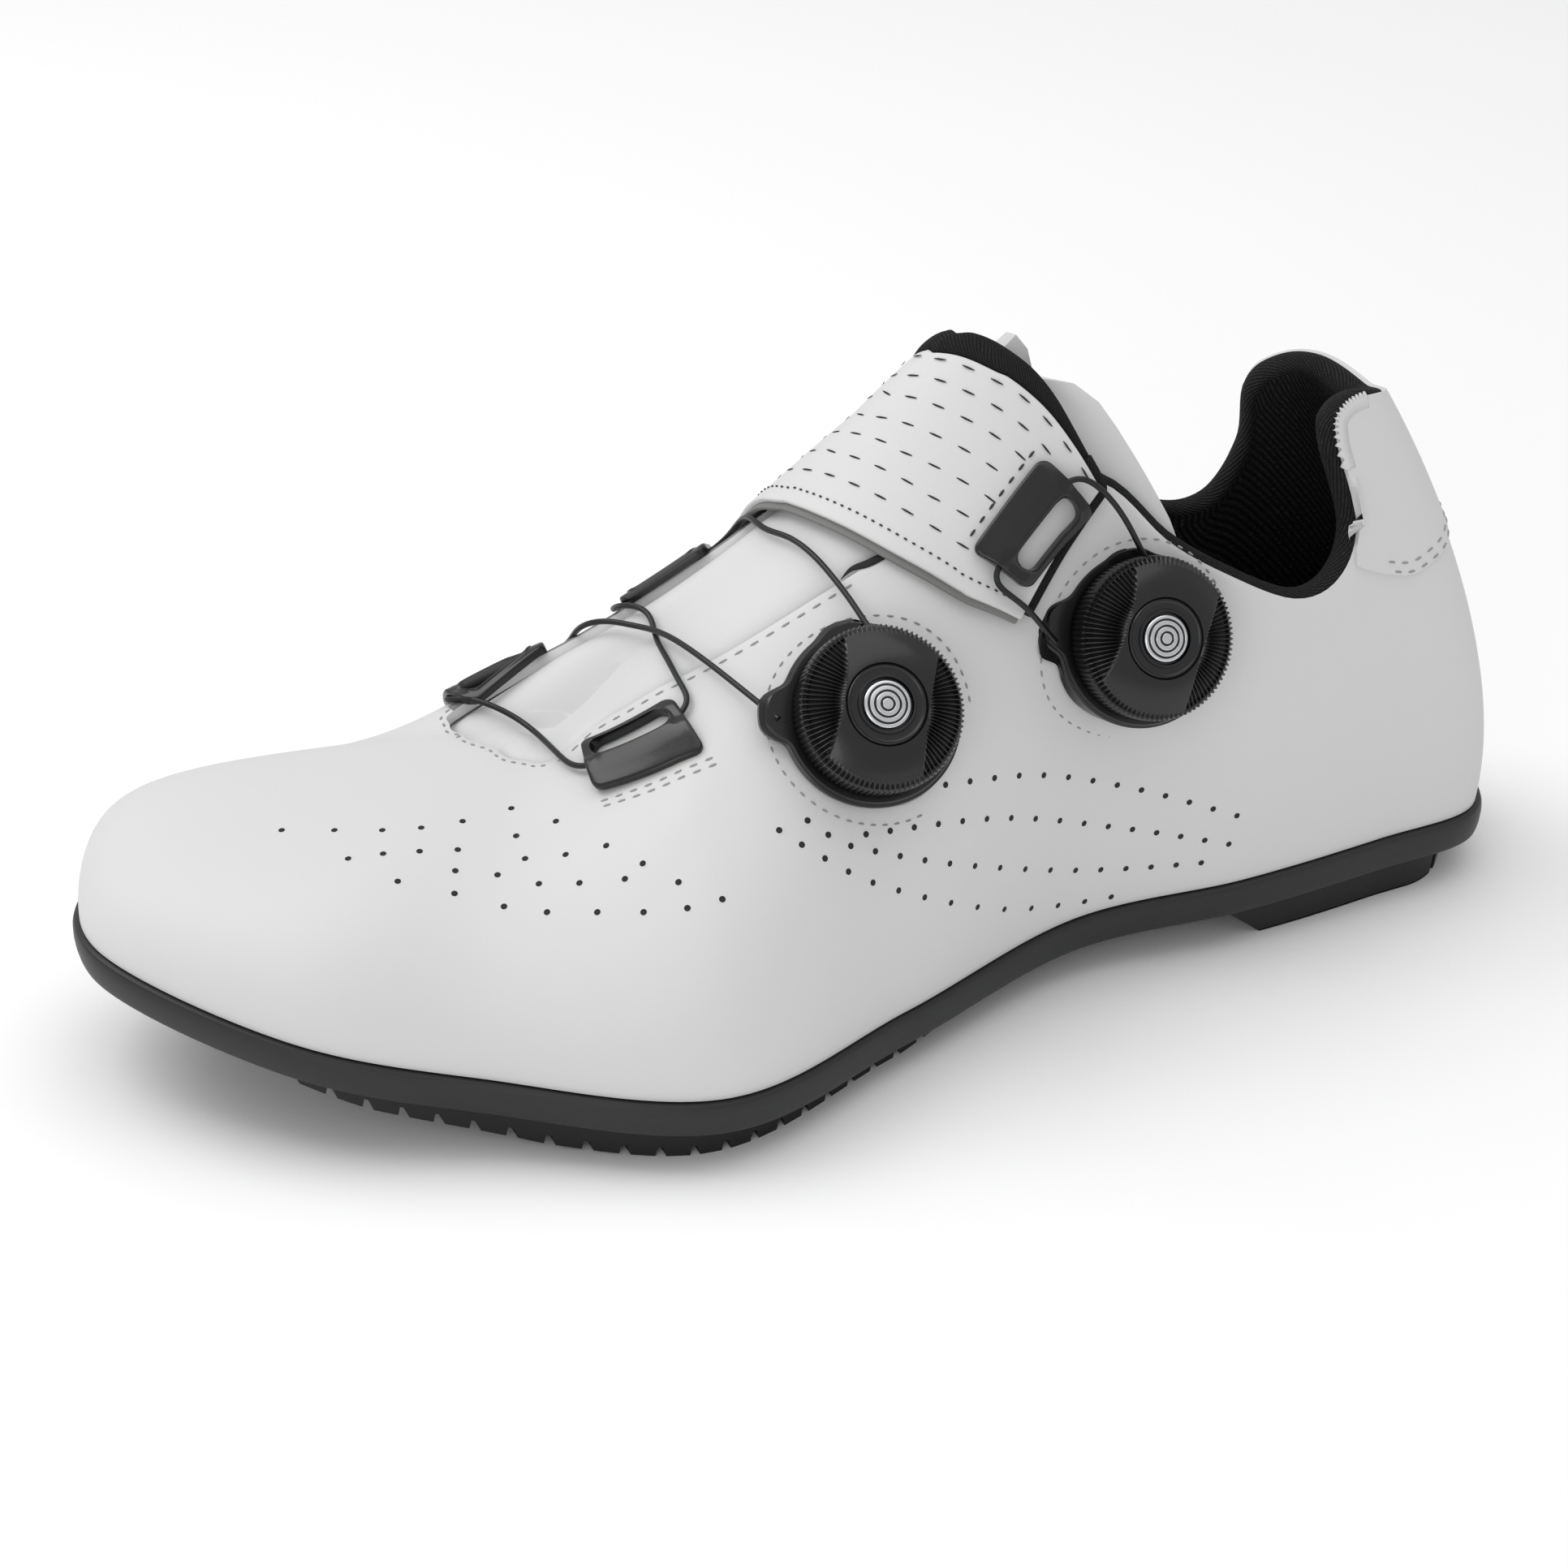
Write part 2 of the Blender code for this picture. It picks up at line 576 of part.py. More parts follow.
def make_forefoot_tread():
    first, last = tread_place(TREAD_ROWS[0][0]), tread_place(TREAD_ROWS[-1][0])
    lugs = int((last - first) / LUG_PITCH)
    places, grooved = [], []
    for lug in range(lugs):
        start = first + lug * LUG_PITCH
        floor = LUG_PITCH - LUG_GROOVE
        places += [start, start + floor - LUG_RAMP, start + floor, start + LUG_PITCH - LUG_RAMP]
        grooved += [0, 0, 1, 1]
    places, grooved = np.array(places[:-2]), np.array(grooved[:-2])
    outer, inner = sole_underside(places)
    middle, half = 0.5 * (outer + inner), 0.5 * (outer - inner)
    reach = half[:, 0] - TREAD_INSET
    channel = 0.5 * CHANNEL_WIDTH
    ramp = channel + LUG_RAMP
    table = np.array(TREAD_ROWS)
    depth = TREAD_DEPTH * np.interp(places, tread_place_table(table[:, 0]), table[:, 1])
    upper_side, lower_side = [], []
    for index, place in enumerate(places):
        widths = np.array([reach[index], ramp, channel, -channel, -ramp, -reach[index]])
        cut = np.array([grooved[index], grooved[index], 1, 1, grooved[index], grooved[index]])
        top = middle[index, 1] + half[index, 1] * widths / half[index, 0] - CLEARANCE
        low = np.maximum(top - depth[index], 0) + cut * np.minimum(LUG_DEPTH, 0.6 * depth[index])
        y = middle[index, 0] + widths
        upper_side.append(np.stack([np.full(6, place), y, top], -1))
        lower_side.append(np.stack([np.full(6, place), y, low], -1))
    sheet("forefoot_tread", upper_side, lower_side, "rubber")


def tread_place_table(shares):
    return np.array([tread_place(share) for share in shares])


def make_heel_tread():
    """Heel block: loops from the sole down to the flat rest, with a slanted front."""
    back, front = tread_place(HEEL_BLOCK[0]), tread_place(HEEL_BLOCK[1])
    steps = np.linspace(0, 1, 15)
    shares = 1 - np.cos(0.5 * math.pi * steps)
    loops = []
    for level in HEEL_BLOCK_LEVELS:
        end = front - HEEL_FRONT_SLANT * level
        start = back + HEEL_BLOCK_TAPER + HEEL_BLOCK_TAPER * level
        places = start + (end - start) * shares
        outer, inner = sole_underside(places)
        middle, half = 0.5 * (outer + inner), 0.5 * (outer - inner)
        rounding = np.clip((places - start) / (HEEL_BLOCK_ROUND * (end - start)), 0, 1)
        round_back = HEEL_BLOCK_BACK + (1 - HEEL_BLOCK_BACK) * np.sqrt(1 - (1 - rounding) ** 2)
        reach = (half[:, 0] - HEEL_BLOCK_INSET - HEEL_BLOCK_TAPER * level) * round_back
        sides = []
        for sign in (1, -1):
            y = middle[:, 0] + sign * reach
            top = middle[:, 1] + half[:, 1] * (y - middle[:, 0]) / half[:, 0] - CLEARANCE
            sides.append(np.stack([places, y, top * (1 - level)], -1))
        loops.append(np.concatenate([sides[0], sides[1][::-1]]))
    work = bmesh.new()
    rings = [[work.verts.new(point) for point in loop] for loop in loops]
    grid_faces(work, [ring + [ring[0]] for ring in rings])
    count = len(rings[0])
    for ring in (rings[0], rings[-1]):
        for j in range(count // 2 - 1):
            work.faces.new([ring[j], ring[j + 1], ring[count - 2 - j], ring[count - 1 - j]])
    finish("heel_tread", work, "rubber")


def tongue_grid(rows):
    """Row, level and sinking of the tongue's skin: one column for each of the upper's along the throat."""
    top = np.array(TONGUE_TOP)
    to_row, edge = opening(rows)
    first, last = THROAT_REACH
    outer_side = [j for j in range(COLUMNS // 2) if rows[j] >= first and rows[COLUMNS - j] <= last]
    columns = []
    for j in range(outer_side[0], COLUMNS - outer_side[0] + 1):
        pair = COLUMNS - j
        own, other = (last_row(to_row[column])[3] for column in (j, pair))
        sign = 1 if j < COLUMNS // 2 else -1
        wide = 1 - edge[j]
        shared = 0.5 * (own + other)
        pole = shared > CREST_END - THROAT_POLE
        centre = CREST_END - 1e-6 if pole else shared
        lap = wide + TONGUE_LAP
        seam = wide - SEAM_GAP
        lines = np.array([lap, seam, seam - min(SEAM_RISE, 0.22 * wide), 0.6 * wide, 0.3 * wide, 0.0])
        if pole:
            columns.append((np.full(len(lines), to_row[j]), 1 - lines, 1.0, sign))
        else:
            tucked = 1 - smooth(shared, *TONGUE_SETTLE)
            places = own + (centre - own) * (1 - np.clip(lines / wide, 0, 1))
            columns.append((*across(places, sign * np.maximum(lines, 1e-6)), 1 - tucked, sign))
    ends = []
    for sign, neighbour in ((1, columns[0]), (-1, columns[-1])):
        made = []
        for share in TONGUE_HEAD:
            tucked = TONGUE_TUCK * np.array(TONGUE_TUCK_LINES)
            lines = (1 - neighbour[1]) * (1 - share) + tucked * share
            own = last_row(neighbour[0])[:, 3]
            edge_place = np.interp(sign * lines, top[:, 0], top[:, 1])
            places = own + (edge_place - own) * share
            made.append((*across(places, sign * np.maximum(lines, 1e-6)), 0.0, sign))
        ends.append(made)
    return ends[0][::-1] + columns + ends[1]


def make_tongue(rows):
    """Tongue under both facings; it rises to the upper's own skin inside the throat."""
    facing = UPPER_WALL + SHEET_CLEARANCE
    deep = UPPER_WALL + LINING_EDGE_WALL + 2 * SHEET_CLEARANCE
    outer, inner = [], []
    for column_rows, levels, settle, sign in tongue_grid(rows):
        under = deep + (facing - deep) * settle
        skin = under + (THROAT_FLUSH - under) * np.array(TONGUE_RISE[sign]) * settle
        outer.append(over_last(column_rows, levels, -skin))
        inner.append(over_last(column_rows, levels, np.full(len(levels), -under - TONGUE_WALL)))
    outer, inner = np.array(outer), np.array(inner)
    for grid in (outer, inner):
        mirrored = grid[::-1, -1].copy()
        grid[:, -1] = 0.5 * (grid[:, -1] + mirrored)
        apex = np.linalg.norm(grid[:, -1] - grid[len(grid) // 2, -1], axis=1) < THROAT_POLE * LENGTH
        grid[apex, -1] = grid[apex, -1].mean(axis=0)
    sheet("tongue", outer, inner, "synthetic_leather", merged=True)


def strap_grid(shares):
    """Row and level over the strap, from its outer end to its root on the inner side."""
    table = np.array(STRAP_ROWS)
    places = np.linspace(0, len(table) - 1, 19)
    values = catmull(table, np.clip(places, 0, len(table) - 1.0001))
    rows, levels = [], []
    for side, front, rear in values:
        lines = side - STRAP_END_SLANT * shares * smooth(side, -0.1, table[0, 0])
        row, level = across(front + (rear - front) * shares, lines)
        rows.append(row)
        levels.append(level)
    return np.array(rows), np.array(levels), values[:, 0]


def strap_base(side):
    """Height of the strap's underside: it rides a little higher over the tongue."""
    return SHEET_CLEARANCE + STRAP_LIFT * np.exp(-(side / 0.25) ** 2)


def make_strap():
    rows, levels, side = strap_grid(np.array(STRAP_SHARES))
    base = strap_base(side)[:, None] * np.ones(rows.shape[1])
    under, top = (over_last(rows, levels, base + height) for height in (0, STRAP_WALL))
    sheet("strap", top, under, "synthetic_leather")
    depth = STRAP_DEPTH * LENGTH
    starts = CLEARANCE / depth
    width = STRAP_RIM_WIDTH / depth
    rows, levels, side = strap_grid(1.0 + np.array((starts, 0.5 * width, width)))
    base = strap_base(side)[:, None] * np.ones(rows.shape[1])
    rounded = STRAP_WALL * np.array(STRAP_RIM_ROUND)
    under, top = (over_last(rows, levels, base + height) for height in (0, rounded))
    sheet("strap_rim", top, under, "mesh_fabric")


class Patch:
    """Flat millimetre grid laid on the last round a point, turned along a direction."""

    def __init__(self, row, level, row_ahead, level_ahead):
        self.row, self.level = row, level
        here = last_surface(row, level)
        by_row = (last_surface(row + 0.02, level) - last_surface(row - 0.02, level)) / 0.04
        by_level = (last_surface(row, level + 0.005) - last_surface(row, level - 0.005)) / 0.01
        ahead = last_surface(row_ahead, level_ahead) - here
        normal = last_normal(row, level)
        ahead = ahead - normal * (ahead @ normal)
        ahead = ahead / np.linalg.norm(ahead)
        beside = np.cross(normal, ahead)
        jacobian = np.array([[by_row @ ahead, by_level @ ahead], [by_row @ beside, by_level @ beside]])
        self.inverse = np.linalg.inv(jacobian)
        self.here, self.ahead, self.beside, self.normal = here, ahead, beside, normal

    def point(self, a, b, height):
        """Point a ahead, b beside and a height over the last."""
        a, b, height = np.broadcast_arrays(*(np.asarray(value, float) for value in (a, b, height)))
        shift = np.stack([a, b], -1) @ self.inverse.T
        return over_last(self.row + shift[..., 0], self.level + shift[..., 1], height)

    def rigid(self, a, b, height):
        """Point of a flat piece fixed square to the last at the patch's middle."""
        a, b, height = (np.asarray(value, float)[..., None] for value in (a, b, height))
        return stand(self.here + a * self.ahead + b * self.beside + height * self.normal)


def rounded_box(length, width, radius, segments=3):
    """Corner points of a rounded rectangle, round from the first corner."""
    points = []
    for index, (sx, sy) in enumerate(((1, 1), (-1, 1), (-1, -1), (1, -1))):
        for step in range(segments + 1):
            angle = 0.5 * math.pi * (index + step / segments)
            points.append((sx * (0.5 * length - radius) + radius * math.cos(angle),
                           sy * (0.5 * width - radius) + radius * math.sin(angle)))
    return np.array(points)


def guide_patch(name):
    """Patch of a guide and the height of the face that it sits on."""
    row_front, level_front, row_rear, level_rear = GUIDES[name][:4]
    on_strap = name == "guide_strap"
    patch = Patch(0.5 * (row_front + row_rear), 0.5 * (level_front + level_rear), row_front, level_front)
    return patch, SHEET_CLEARANCE + (STRAP_WALL + SHEET_CLEARANCE + STRAP_LIFT * 0.5 if on_strap else 0)


def make_guide(name):
    """Guide plate: a sewn flange, a roof over the lace channel, open below, and a slot beyond it."""
    length, width, side, lean = GUIDES[name][4:]
    patch, low = guide_patch(name)
    lip = 0.5 * width
    channel = GUIDE_CHANNEL_PLACE * lip
    half = 0.5 * GUIDE_CHANNEL
    ceiling = 2 * CHANNEL_HEIGHT
    shoulder = 0.5 * (GUIDE_FLANGE + GUIDE_ROOF)
    section = (
        (-lip, 0), (-0.6 * lip, 0), (channel - 1.4 * half, 0), (channel - half, ceiling),
        (channel + half, ceiling), (channel + 1.4 * half, 0), (0.6 * lip, 0), (lip, 0), (lip, GUIDE_LIP),
        (0.9 * lip, GUIDE_ROOF), (channel - half, GUIDE_ROOF), (-0.6 * lip, shoulder), (-lip, GUIDE_FLANGE),
    )
    work = bmesh.new()
    rings = []
    for share in GUIDE_ENDS:
        trim = GUIDE_END_TRIM if abs(share) == 0.5 else 1.0
        ring = []
        for beside, height in section:
            trimmed = height * trim if height > ceiling else height
            ring.append(patch.point(share * length + lean * beside, side * beside, low + trimmed))
        rings.append([work.verts.new(point) for point in ring])
    grid_faces(work, [ring + [ring[0]] for ring in rings])
    for ring in (rings[0], rings[-1]):
        work.faces.new(ring)
    thing = finish(name, work, "moulded_nylon")
    slot = rounded_box(GUIDE_SLOT_REACH * length, GUIDE_SLOT, 0.49 * GUIDE_SLOT)
    middle = GUIDE_SLOT_PLACE * lip
    cut = bmesh.new()
    loops = []
    for height in (-GUIDE_ROOF, 2 * GUIDE_ROOF):
        ring = [patch.rigid(a + lean * (b + middle), side * (b + middle), low + height) for a, b in slot]
        loops.append([cut.verts.new(point) for point in ring])
    grid_faces(cut, [loop + [loop[0]] for loop in loops])
    for loop in loops:
        cut.faces.new(loop)
    cutter = finish(name + "_slot", cut, "moulded_nylon")
    cutter.hide_render = True
    cutter.display_type = "WIRE"
    window = thing.modifiers.new("slot", "BOOLEAN")
    window.operation = "DIFFERENCE"
    window.solver = "EXACT"
    window.object = cutter


def guide_run(name, forward):
    """Points of a lace through a guide's channel, towards the toe or away from it."""
    length, width, side, lean = GUIDES[name][4:]
    patch, low = guide_patch(name)
    shares = np.array(CHANNEL_STEPS) * (1 if forward else -1)
    beside = 0.5 * width * GUIDE_CHANNEL_PLACE
    height = low + CHANNEL_HEIGHT - 0.2 * LACE_RADIUS
    return patch.point(shares * length + lean * beside, side * beside, height)


def dial_ears(angle, ears):
    """Bulge of the base where a lace leaves it."""
    bulge = 0.0
    for ear, reach in zip(ears, DIAL_EARS):
        gap = (angle - ear + math.pi) % (2 * math.pi) - math.pi
        bulge = max(bulge, reach * math.exp(-(gap / DIAL_EAR_SPREAD) ** 4))
    return bulge


def dial_patch(row, level):
    """Patch whose plane is levelled over the skin that the dial covers."""
    patch = Patch(row, level, row + 0.3, level)
    angles = np.linspace(0, 2 * math.pi, 24, endpoint=False)
    rim = 0.85 * (DIAL_RADIUS + DIAL_FLANGE)
    shift = np.stack([rim * np.cos(angles), rim * np.sin(angles)], -1) @ patch.inverse.T
    points = last_surface(row + shift[:, 0], level + shift[:, 1])
    heights = (points - patch.here) @ patch.normal
    slope_ahead = 2 * np.mean(heights * np.cos(angles)) / rim
    slope_beside = 2 * np.mean(heights * np.sin(angles)) / rim
    normal = patch.normal - slope_ahead * patch.ahead - slope_beside * patch.beside
    patch.normal = normal / np.linalg.norm(normal)
    patch.here = patch.here + patch.normal * max(0, heights.mean())
    patch.ahead = patch.ahead - patch.normal * (patch.ahead @ patch.normal)
    patch.ahead = patch.ahead / np.linalg.norm(patch.ahead)
    patch.beside = np.cross(patch.normal, patch.ahead)
    return patch


def make_dial(name, row, level, turn):
    """Base seated on the upper, knob over it, cap in the knob's recess."""
    patch = dial_patch(row, level)
    angles = [2 * math.pi * index / DIAL_SIDES for index in range(DIAL_SIDES)]
    ears = (math.radians(turn), math.radians(turn - DIAL_PORT_TURN))
    work = bmesh.new()
    foot = DIAL_RADIUS + DIAL_FLANGE
    rings = []
    for share in DIAL_SEAT_RINGS:
        reach = [share * (foot + dial_ears(a, ears)) for a in angles]
        rings.append([work.verts.new(patch.point(r * math.cos(a), r * math.sin(a), SHEET_CLEARANCE))
                      for r, a in zip(reach, angles)])
    for shrink, height in DIAL_SHOULDER:
        reach = [foot - shrink * DIAL_FLANGE + DIAL_EAR_SHOULDER * dial_ears(a, ears) for a in angles]
        rings.append([work.verts.new(patch.rigid(r * math.cos(a), r * math.sin(a), DIAL_BASE_TOP * height))
                      for r, a in zip(reach, angles)])
    grid_faces(work, [ring + [ring[0]] for ring in rings])
    hub = (patch.point(0, 0, SHEET_CLEARANCE), patch.rigid(0, 0, DIAL_BASE_TOP))
    for middle, ring in zip(hub, (rings[0], rings[-1])):
        centre = work.verts.new(middle)
        for index in range(DIAL_SIDES):
            work.faces.new([centre, ring[index], ring[(index + 1) % DIAL_SIDES]])
    finish(name + "_base", work, "moulded_nylon")
    bottom = DIAL_BASE_TOP + CLEARANCE
    rim = bottom + DIAL_RIM
    crown = rim + DIAL_DOME
    seat = crown - DIAL_RECESS
    recess = DIAL_CAP_RADIUS + CLEARANCE
    profile = (
        (0.90 * DIAL_RADIUS, bottom), (DIAL_RADIUS, bottom + DIAL_BEVEL), (DIAL_RADIUS, rim),
        (0.94 * DIAL_RADIUS, rim + DIAL_STEP), (0.75 * DIAL_RADIUS, rim + 0.62 * DIAL_DOME), (DIAL_HUB, crown),
        (recess, crown), (recess, seat),
    )
    turned(name + "_knob", patch, profile, "moulded_nylon")
    edge_rise, top_rise = DIAL_CAP_RISE
    cap = (
        (DIAL_CAP_RADIUS, seat + CLEARANCE), (DIAL_CAP_RADIUS, crown + edge_rise),
        (0.8 * DIAL_CAP_RADIUS, crown + top_rise),
    )
    turned(name + "_cap", patch, cap, "aluminium")


def turned(name, patch, profile, finish_name):
    """Solid turned round the dial's axis from its profile, bottom to top."""
    work = bmesh.new()
    angles = [2 * math.pi * index / DIAL_SIDES for index in range(DIAL_SIDES)]
    rings = []
    for radius, height in profile:
        ring = [patch.rigid(radius * math.cos(a), radius * math.sin(a), height) for a in angles]
        rings.append([work.verts.new(point) for point in ring])
    grid_faces(work, [ring + [ring[0]] for ring in rings])
    for ring in (rings[0], rings[-1]):
        work.faces.new(ring)
    return finish(name, work, finish_name)


def make_lace(name, route):
    """Steel lace through the route's points, a round tube with closed ends."""
    runs = []
    for group in route:
        if isinstance(group[0], str):
            runs.append(guide_run(group[0], group[1] > 0))
        else:
            table = np.array(group)
            runs.append(over_last(table[:, 0], table[:, 1], table[:, 2] * 0.001))
    points = np.concatenate(runs)
    fine = catmull(points, np.linspace(0, len(points) - 1.0001, LACE_FINENESS * len(points)))
    run = np.concatenate([[0], np.cumsum(np.linalg.norm(np.diff(fine, axis=0), axis=1))])
    even = np.linspace(0, run[-1], LACE_SHARES * int(run[-1] / LACE_SPACING) + 1)
    eased = np.stack([np.interp(even, run, fine[:, axis]) for axis in range(3)], -1)
    for _ in range(LACE_SMOOTHING):
        eased[1:-1] = 0.25 * (eased[:-2] + 2 * eased[1:-1] + eased[2:])
    smooth_points = eased[::LACE_SHARES]
    curve = bpy.data.curves.new(name, "CURVE")
    curve.dimensions = "3D"
    curve.bevel_depth = LACE_RADIUS
    curve.bevel_resolution = 2
    curve.use_fill_caps = True
    line = curve.splines.new("POLY")
    line.points.add(len(smooth_points) - 1)
    for point, place in zip(line.points, smooth_points):
        point.co = (*place, 1)
    finish(name, curve, "steel_cable")


def main():
    for thing in list(bpy.data.objects):
        bpy.data.objects.remove(thing, do_unlink=True)
    rows = spread_rows(COLUMNS)
    make_sole(rows)
    make_forefoot_tread()
    make_heel_tread()
    make_insole(rows)
    make_upper(rows)
    make_lining(rows)
    make_tongue(rows)
    make_strap()
    for guide in GUIDES:
        make_guide(guide)
    for dial in DIALS:
        make_dial(*dial)
    make_lace("lace_lower", LACE_LOWER)
    make_lace("lace_upper", LACE_UPPER)


main()
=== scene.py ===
import math

import bmesh
import bpy
import numpy as np
from mathutils import Matrix, Vector
from mathutils.bvhtree import BVHTree


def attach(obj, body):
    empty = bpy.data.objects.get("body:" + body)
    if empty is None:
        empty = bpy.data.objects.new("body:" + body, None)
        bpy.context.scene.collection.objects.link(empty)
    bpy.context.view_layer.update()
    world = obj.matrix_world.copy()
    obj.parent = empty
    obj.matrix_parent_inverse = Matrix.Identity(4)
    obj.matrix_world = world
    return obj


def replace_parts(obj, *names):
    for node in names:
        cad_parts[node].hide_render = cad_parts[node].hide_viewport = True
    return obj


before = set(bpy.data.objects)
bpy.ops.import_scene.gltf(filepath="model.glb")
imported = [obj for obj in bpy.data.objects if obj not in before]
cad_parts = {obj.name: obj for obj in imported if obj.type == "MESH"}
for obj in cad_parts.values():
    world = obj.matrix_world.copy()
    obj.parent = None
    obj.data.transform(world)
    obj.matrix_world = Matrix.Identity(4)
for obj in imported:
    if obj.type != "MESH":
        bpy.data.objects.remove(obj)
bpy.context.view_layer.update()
print("frame loaded:", len(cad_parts), "nodes")

# The last, the same one that the solids are built on. Each row runs from the featherline to the crest:
# along, side, rise, crest, lean in degrees, low handle, high handle, fall.
last = {
    "length": 0.288,
    "ballWidth": 0.102,
    "seatHeight": 0.0186,
    "instepHeight": 0.1103,
    "pitch": math.radians(1.17),
    "pitchCentre": 0.547,
    "originAlong": 0.03355,
    "crestEnd": 0.68,
}
lastRows = np.array((
    (0.000, 0.020, 0.99, 0.213, 6.8, 0.32, 0.28, 0.00),
    (0.027, 0.227, 1.00, 0.220, 7.0, 0.38, 0.325, 0.00),
    (0.115, 0.275, 1.00, 0.239, 5.0, 0.42, 0.46, 0.00),
    (0.230, 0.303, 0.95, 0.310, 5.0, 0.45, 0.50, 0.00),
    (0.360, 0.288, 0.85, 0.400, 8.0, 0.45, 0.55, 0.00),
    (0.510, 0.442, 0.74, 0.520, 10.0, 0.50, 0.55, 0.00),
    (0.660, 0.595, 0.77, 0.620, 8.0, 0.52, 0.55, 0.00),
    (0.800, 0.400, 0.88, 0.672, 6.0, 0.60, 0.60, 0.06),
    (0.912, 0.247, 1.23, 0.680, 6.5, 0.72, 0.70, 0.15),
    (1.000, -0.082, 1.55, 0.680, 2.0, 0.73, 0.67, 0.22),
    (0.970, -0.367, 1.42, 0.680, 6.5, 0.90, 0.92, 0.21),
    (0.860, -0.397, 1.02, 0.672, 9.0, 0.70, 0.81, 0.09),
    (0.725, -0.425, 0.76, 0.620, 8.0, 0.52, 0.55, 0.00),
    (0.550, -0.345, 0.75, 0.520, 10.0, 0.50, 0.55, 0.00),
    (0.380, -0.285, 0.86, 0.400, 8.0, 0.45, 0.55, 0.00),
    (0.240, -0.290, 0.94, 0.310, 5.0, 0.45, 0.50, 0.00),
    (0.115, -0.270, 0.99, 0.240, 5.0, 0.42, 0.46, 0.00),
    (0.030, -0.200, 1.00, 0.220, 6.8, 0.37, 0.34, 0.00),
))
rowCount = len(lastRows)
toeRow = 9
# Crest line: along, side, height in instep heights.
crestRows = np.array((
    (0.16, 0.000, 1.324), (0.24, 0.000, 1.296), (0.32, -0.020, 1.260), (0.40, -0.050, 1.153),
    (0.46, -0.070, 1.000), (0.54, -0.090, 0.814), (0.62, -0.120, 0.642), (0.68, -0.145, 0.494),
))
# Opening: row it starts from, row it ends on, level on the way to the crest.
openingRows = np.array((
    (0.0, 0.0, 0.570), (1.1, 1.3, 0.584), (1.6, 1.87, 0.573), (1.95, 2.05, 0.530), (2.35, 2.08, 0.420),
    (2.75, 2.32, 0.358), (3.05, 2.65, 0.347), (3.35, 3.05, 0.395), (3.65, 3.40, 0.466), (3.95, 3.70, 0.580),
    (4.35, 4.20, 0.668), (4.90, 4.85, 0.750), (5.50, 5.50, 0.818), (6.10, 6.15, 0.878), (6.55, 6.55, 0.900),
    (6.95, 6.95, 0.872), (7.60, 7.60, 0.910), (9.00, 9.20, 0.930), (10.30, 10.40, 0.912), (10.90, 11.00, 0.830),
    (11.35, 11.35, 0.745), (12.00, 12.05, 0.670), (12.60, 12.55, 0.742), (13.20, 13.15, 0.768),
    (13.70, 13.80, 0.710), (14.05, 14.35, 0.575), (14.40, 14.85, 0.430), (14.80, 15.25, 0.345),
    (15.25, 15.62, 0.347), (15.65, 15.90, 0.430), (16.05, 16.00, 0.520), (16.50, 16.30, 0.558),
    (17.10, 16.95, 0.575), (18.0, 18.0, 0.570),
))


# Keeps a place on a curve just short of its last point.
endGap = 1.0001


def curveThrough(points, places, closed=False):
    count = len(points)
    places = np.asarray(places, float)
    start = np.floor(places).astype(int)
    part = (places - start)[..., None]

    def pick(index):
        return points[index % count] if closed else points[np.clip(index, 0, count - 1)]

    a, b, c, d = pick(start - 1), pick(start), pick(start + 1), pick(start + 2)
    return 0.5 * (2 * b + (c - a) * part + (2 * a - 5 * b + 4 * c - d) * part ** 2
                  + (3 * b - a - 3 * c + d) * part ** 3)


def runAlong(points):
    # The length from the first point to each point.
    return np.concatenate([[0], np.cumsum(np.linalg.norm(np.diff(points, axis=0), axis=1))])


def valuesAt(places, run, points):
    return np.stack([np.interp(places, run, points[:, axis]) for axis in range(points.shape[1])], -1)


def evenSteps(points, count):
    run = runAlong(points)
    return valuesAt(np.linspace(0, run[-1], count), run, points)


def smoothCurve(points, count):
    # Even steps, by length, through a given list of points.
    points = np.array(points, float)
    return evenSteps(curveThrough(points, np.linspace(0, len(points) - endGap, 60 * len(points))), count)


def eased(points, passes):
    # Rounds off the bends of a run of points, with both ends held.
    points = points.copy()
    for _ in range(passes):
        points[1:-1] = 0.25 * (points[:-2] + 2 * points[1:-1] + points[2:])
    return points


def fullTurn(count):
    return np.linspace(0, 2 * math.pi, count + 1)[:-1]


def matched(*values):
    return np.broadcast_arrays(*(np.asarray(value, float) for value in values))


def softStep(value, low, high):
    share = np.clip((np.asarray(value, float) - low) / (high - low), 0, 1)
    return share * share * (3 - 2 * share)


def lastRow(row):
    values = np.array(curveThrough(lastRows, row, closed=True))
    values[..., 3] = np.minimum(values[..., 3], last["crestEnd"])
    return values


def featherLine(row):
    values = lastRow(row)
    return np.stack([values[..., 0] * last["length"], values[..., 1] * last["ballWidth"],
                     values[..., 2] * last["seatHeight"]], -1)


def crestLine(along):
    place = np.interp(along, crestRows[:, 0], np.arange(len(crestRows)))
    values = curveThrough(crestRows, np.clip(place, 0, len(crestRows) - endGap))
    return np.stack([along * last["length"], values[..., 1] * last["ballWidth"],
                     values[..., 2] * last["instepHeight"]], -1)


upward = np.array([0.0, 0.0, 1.0])


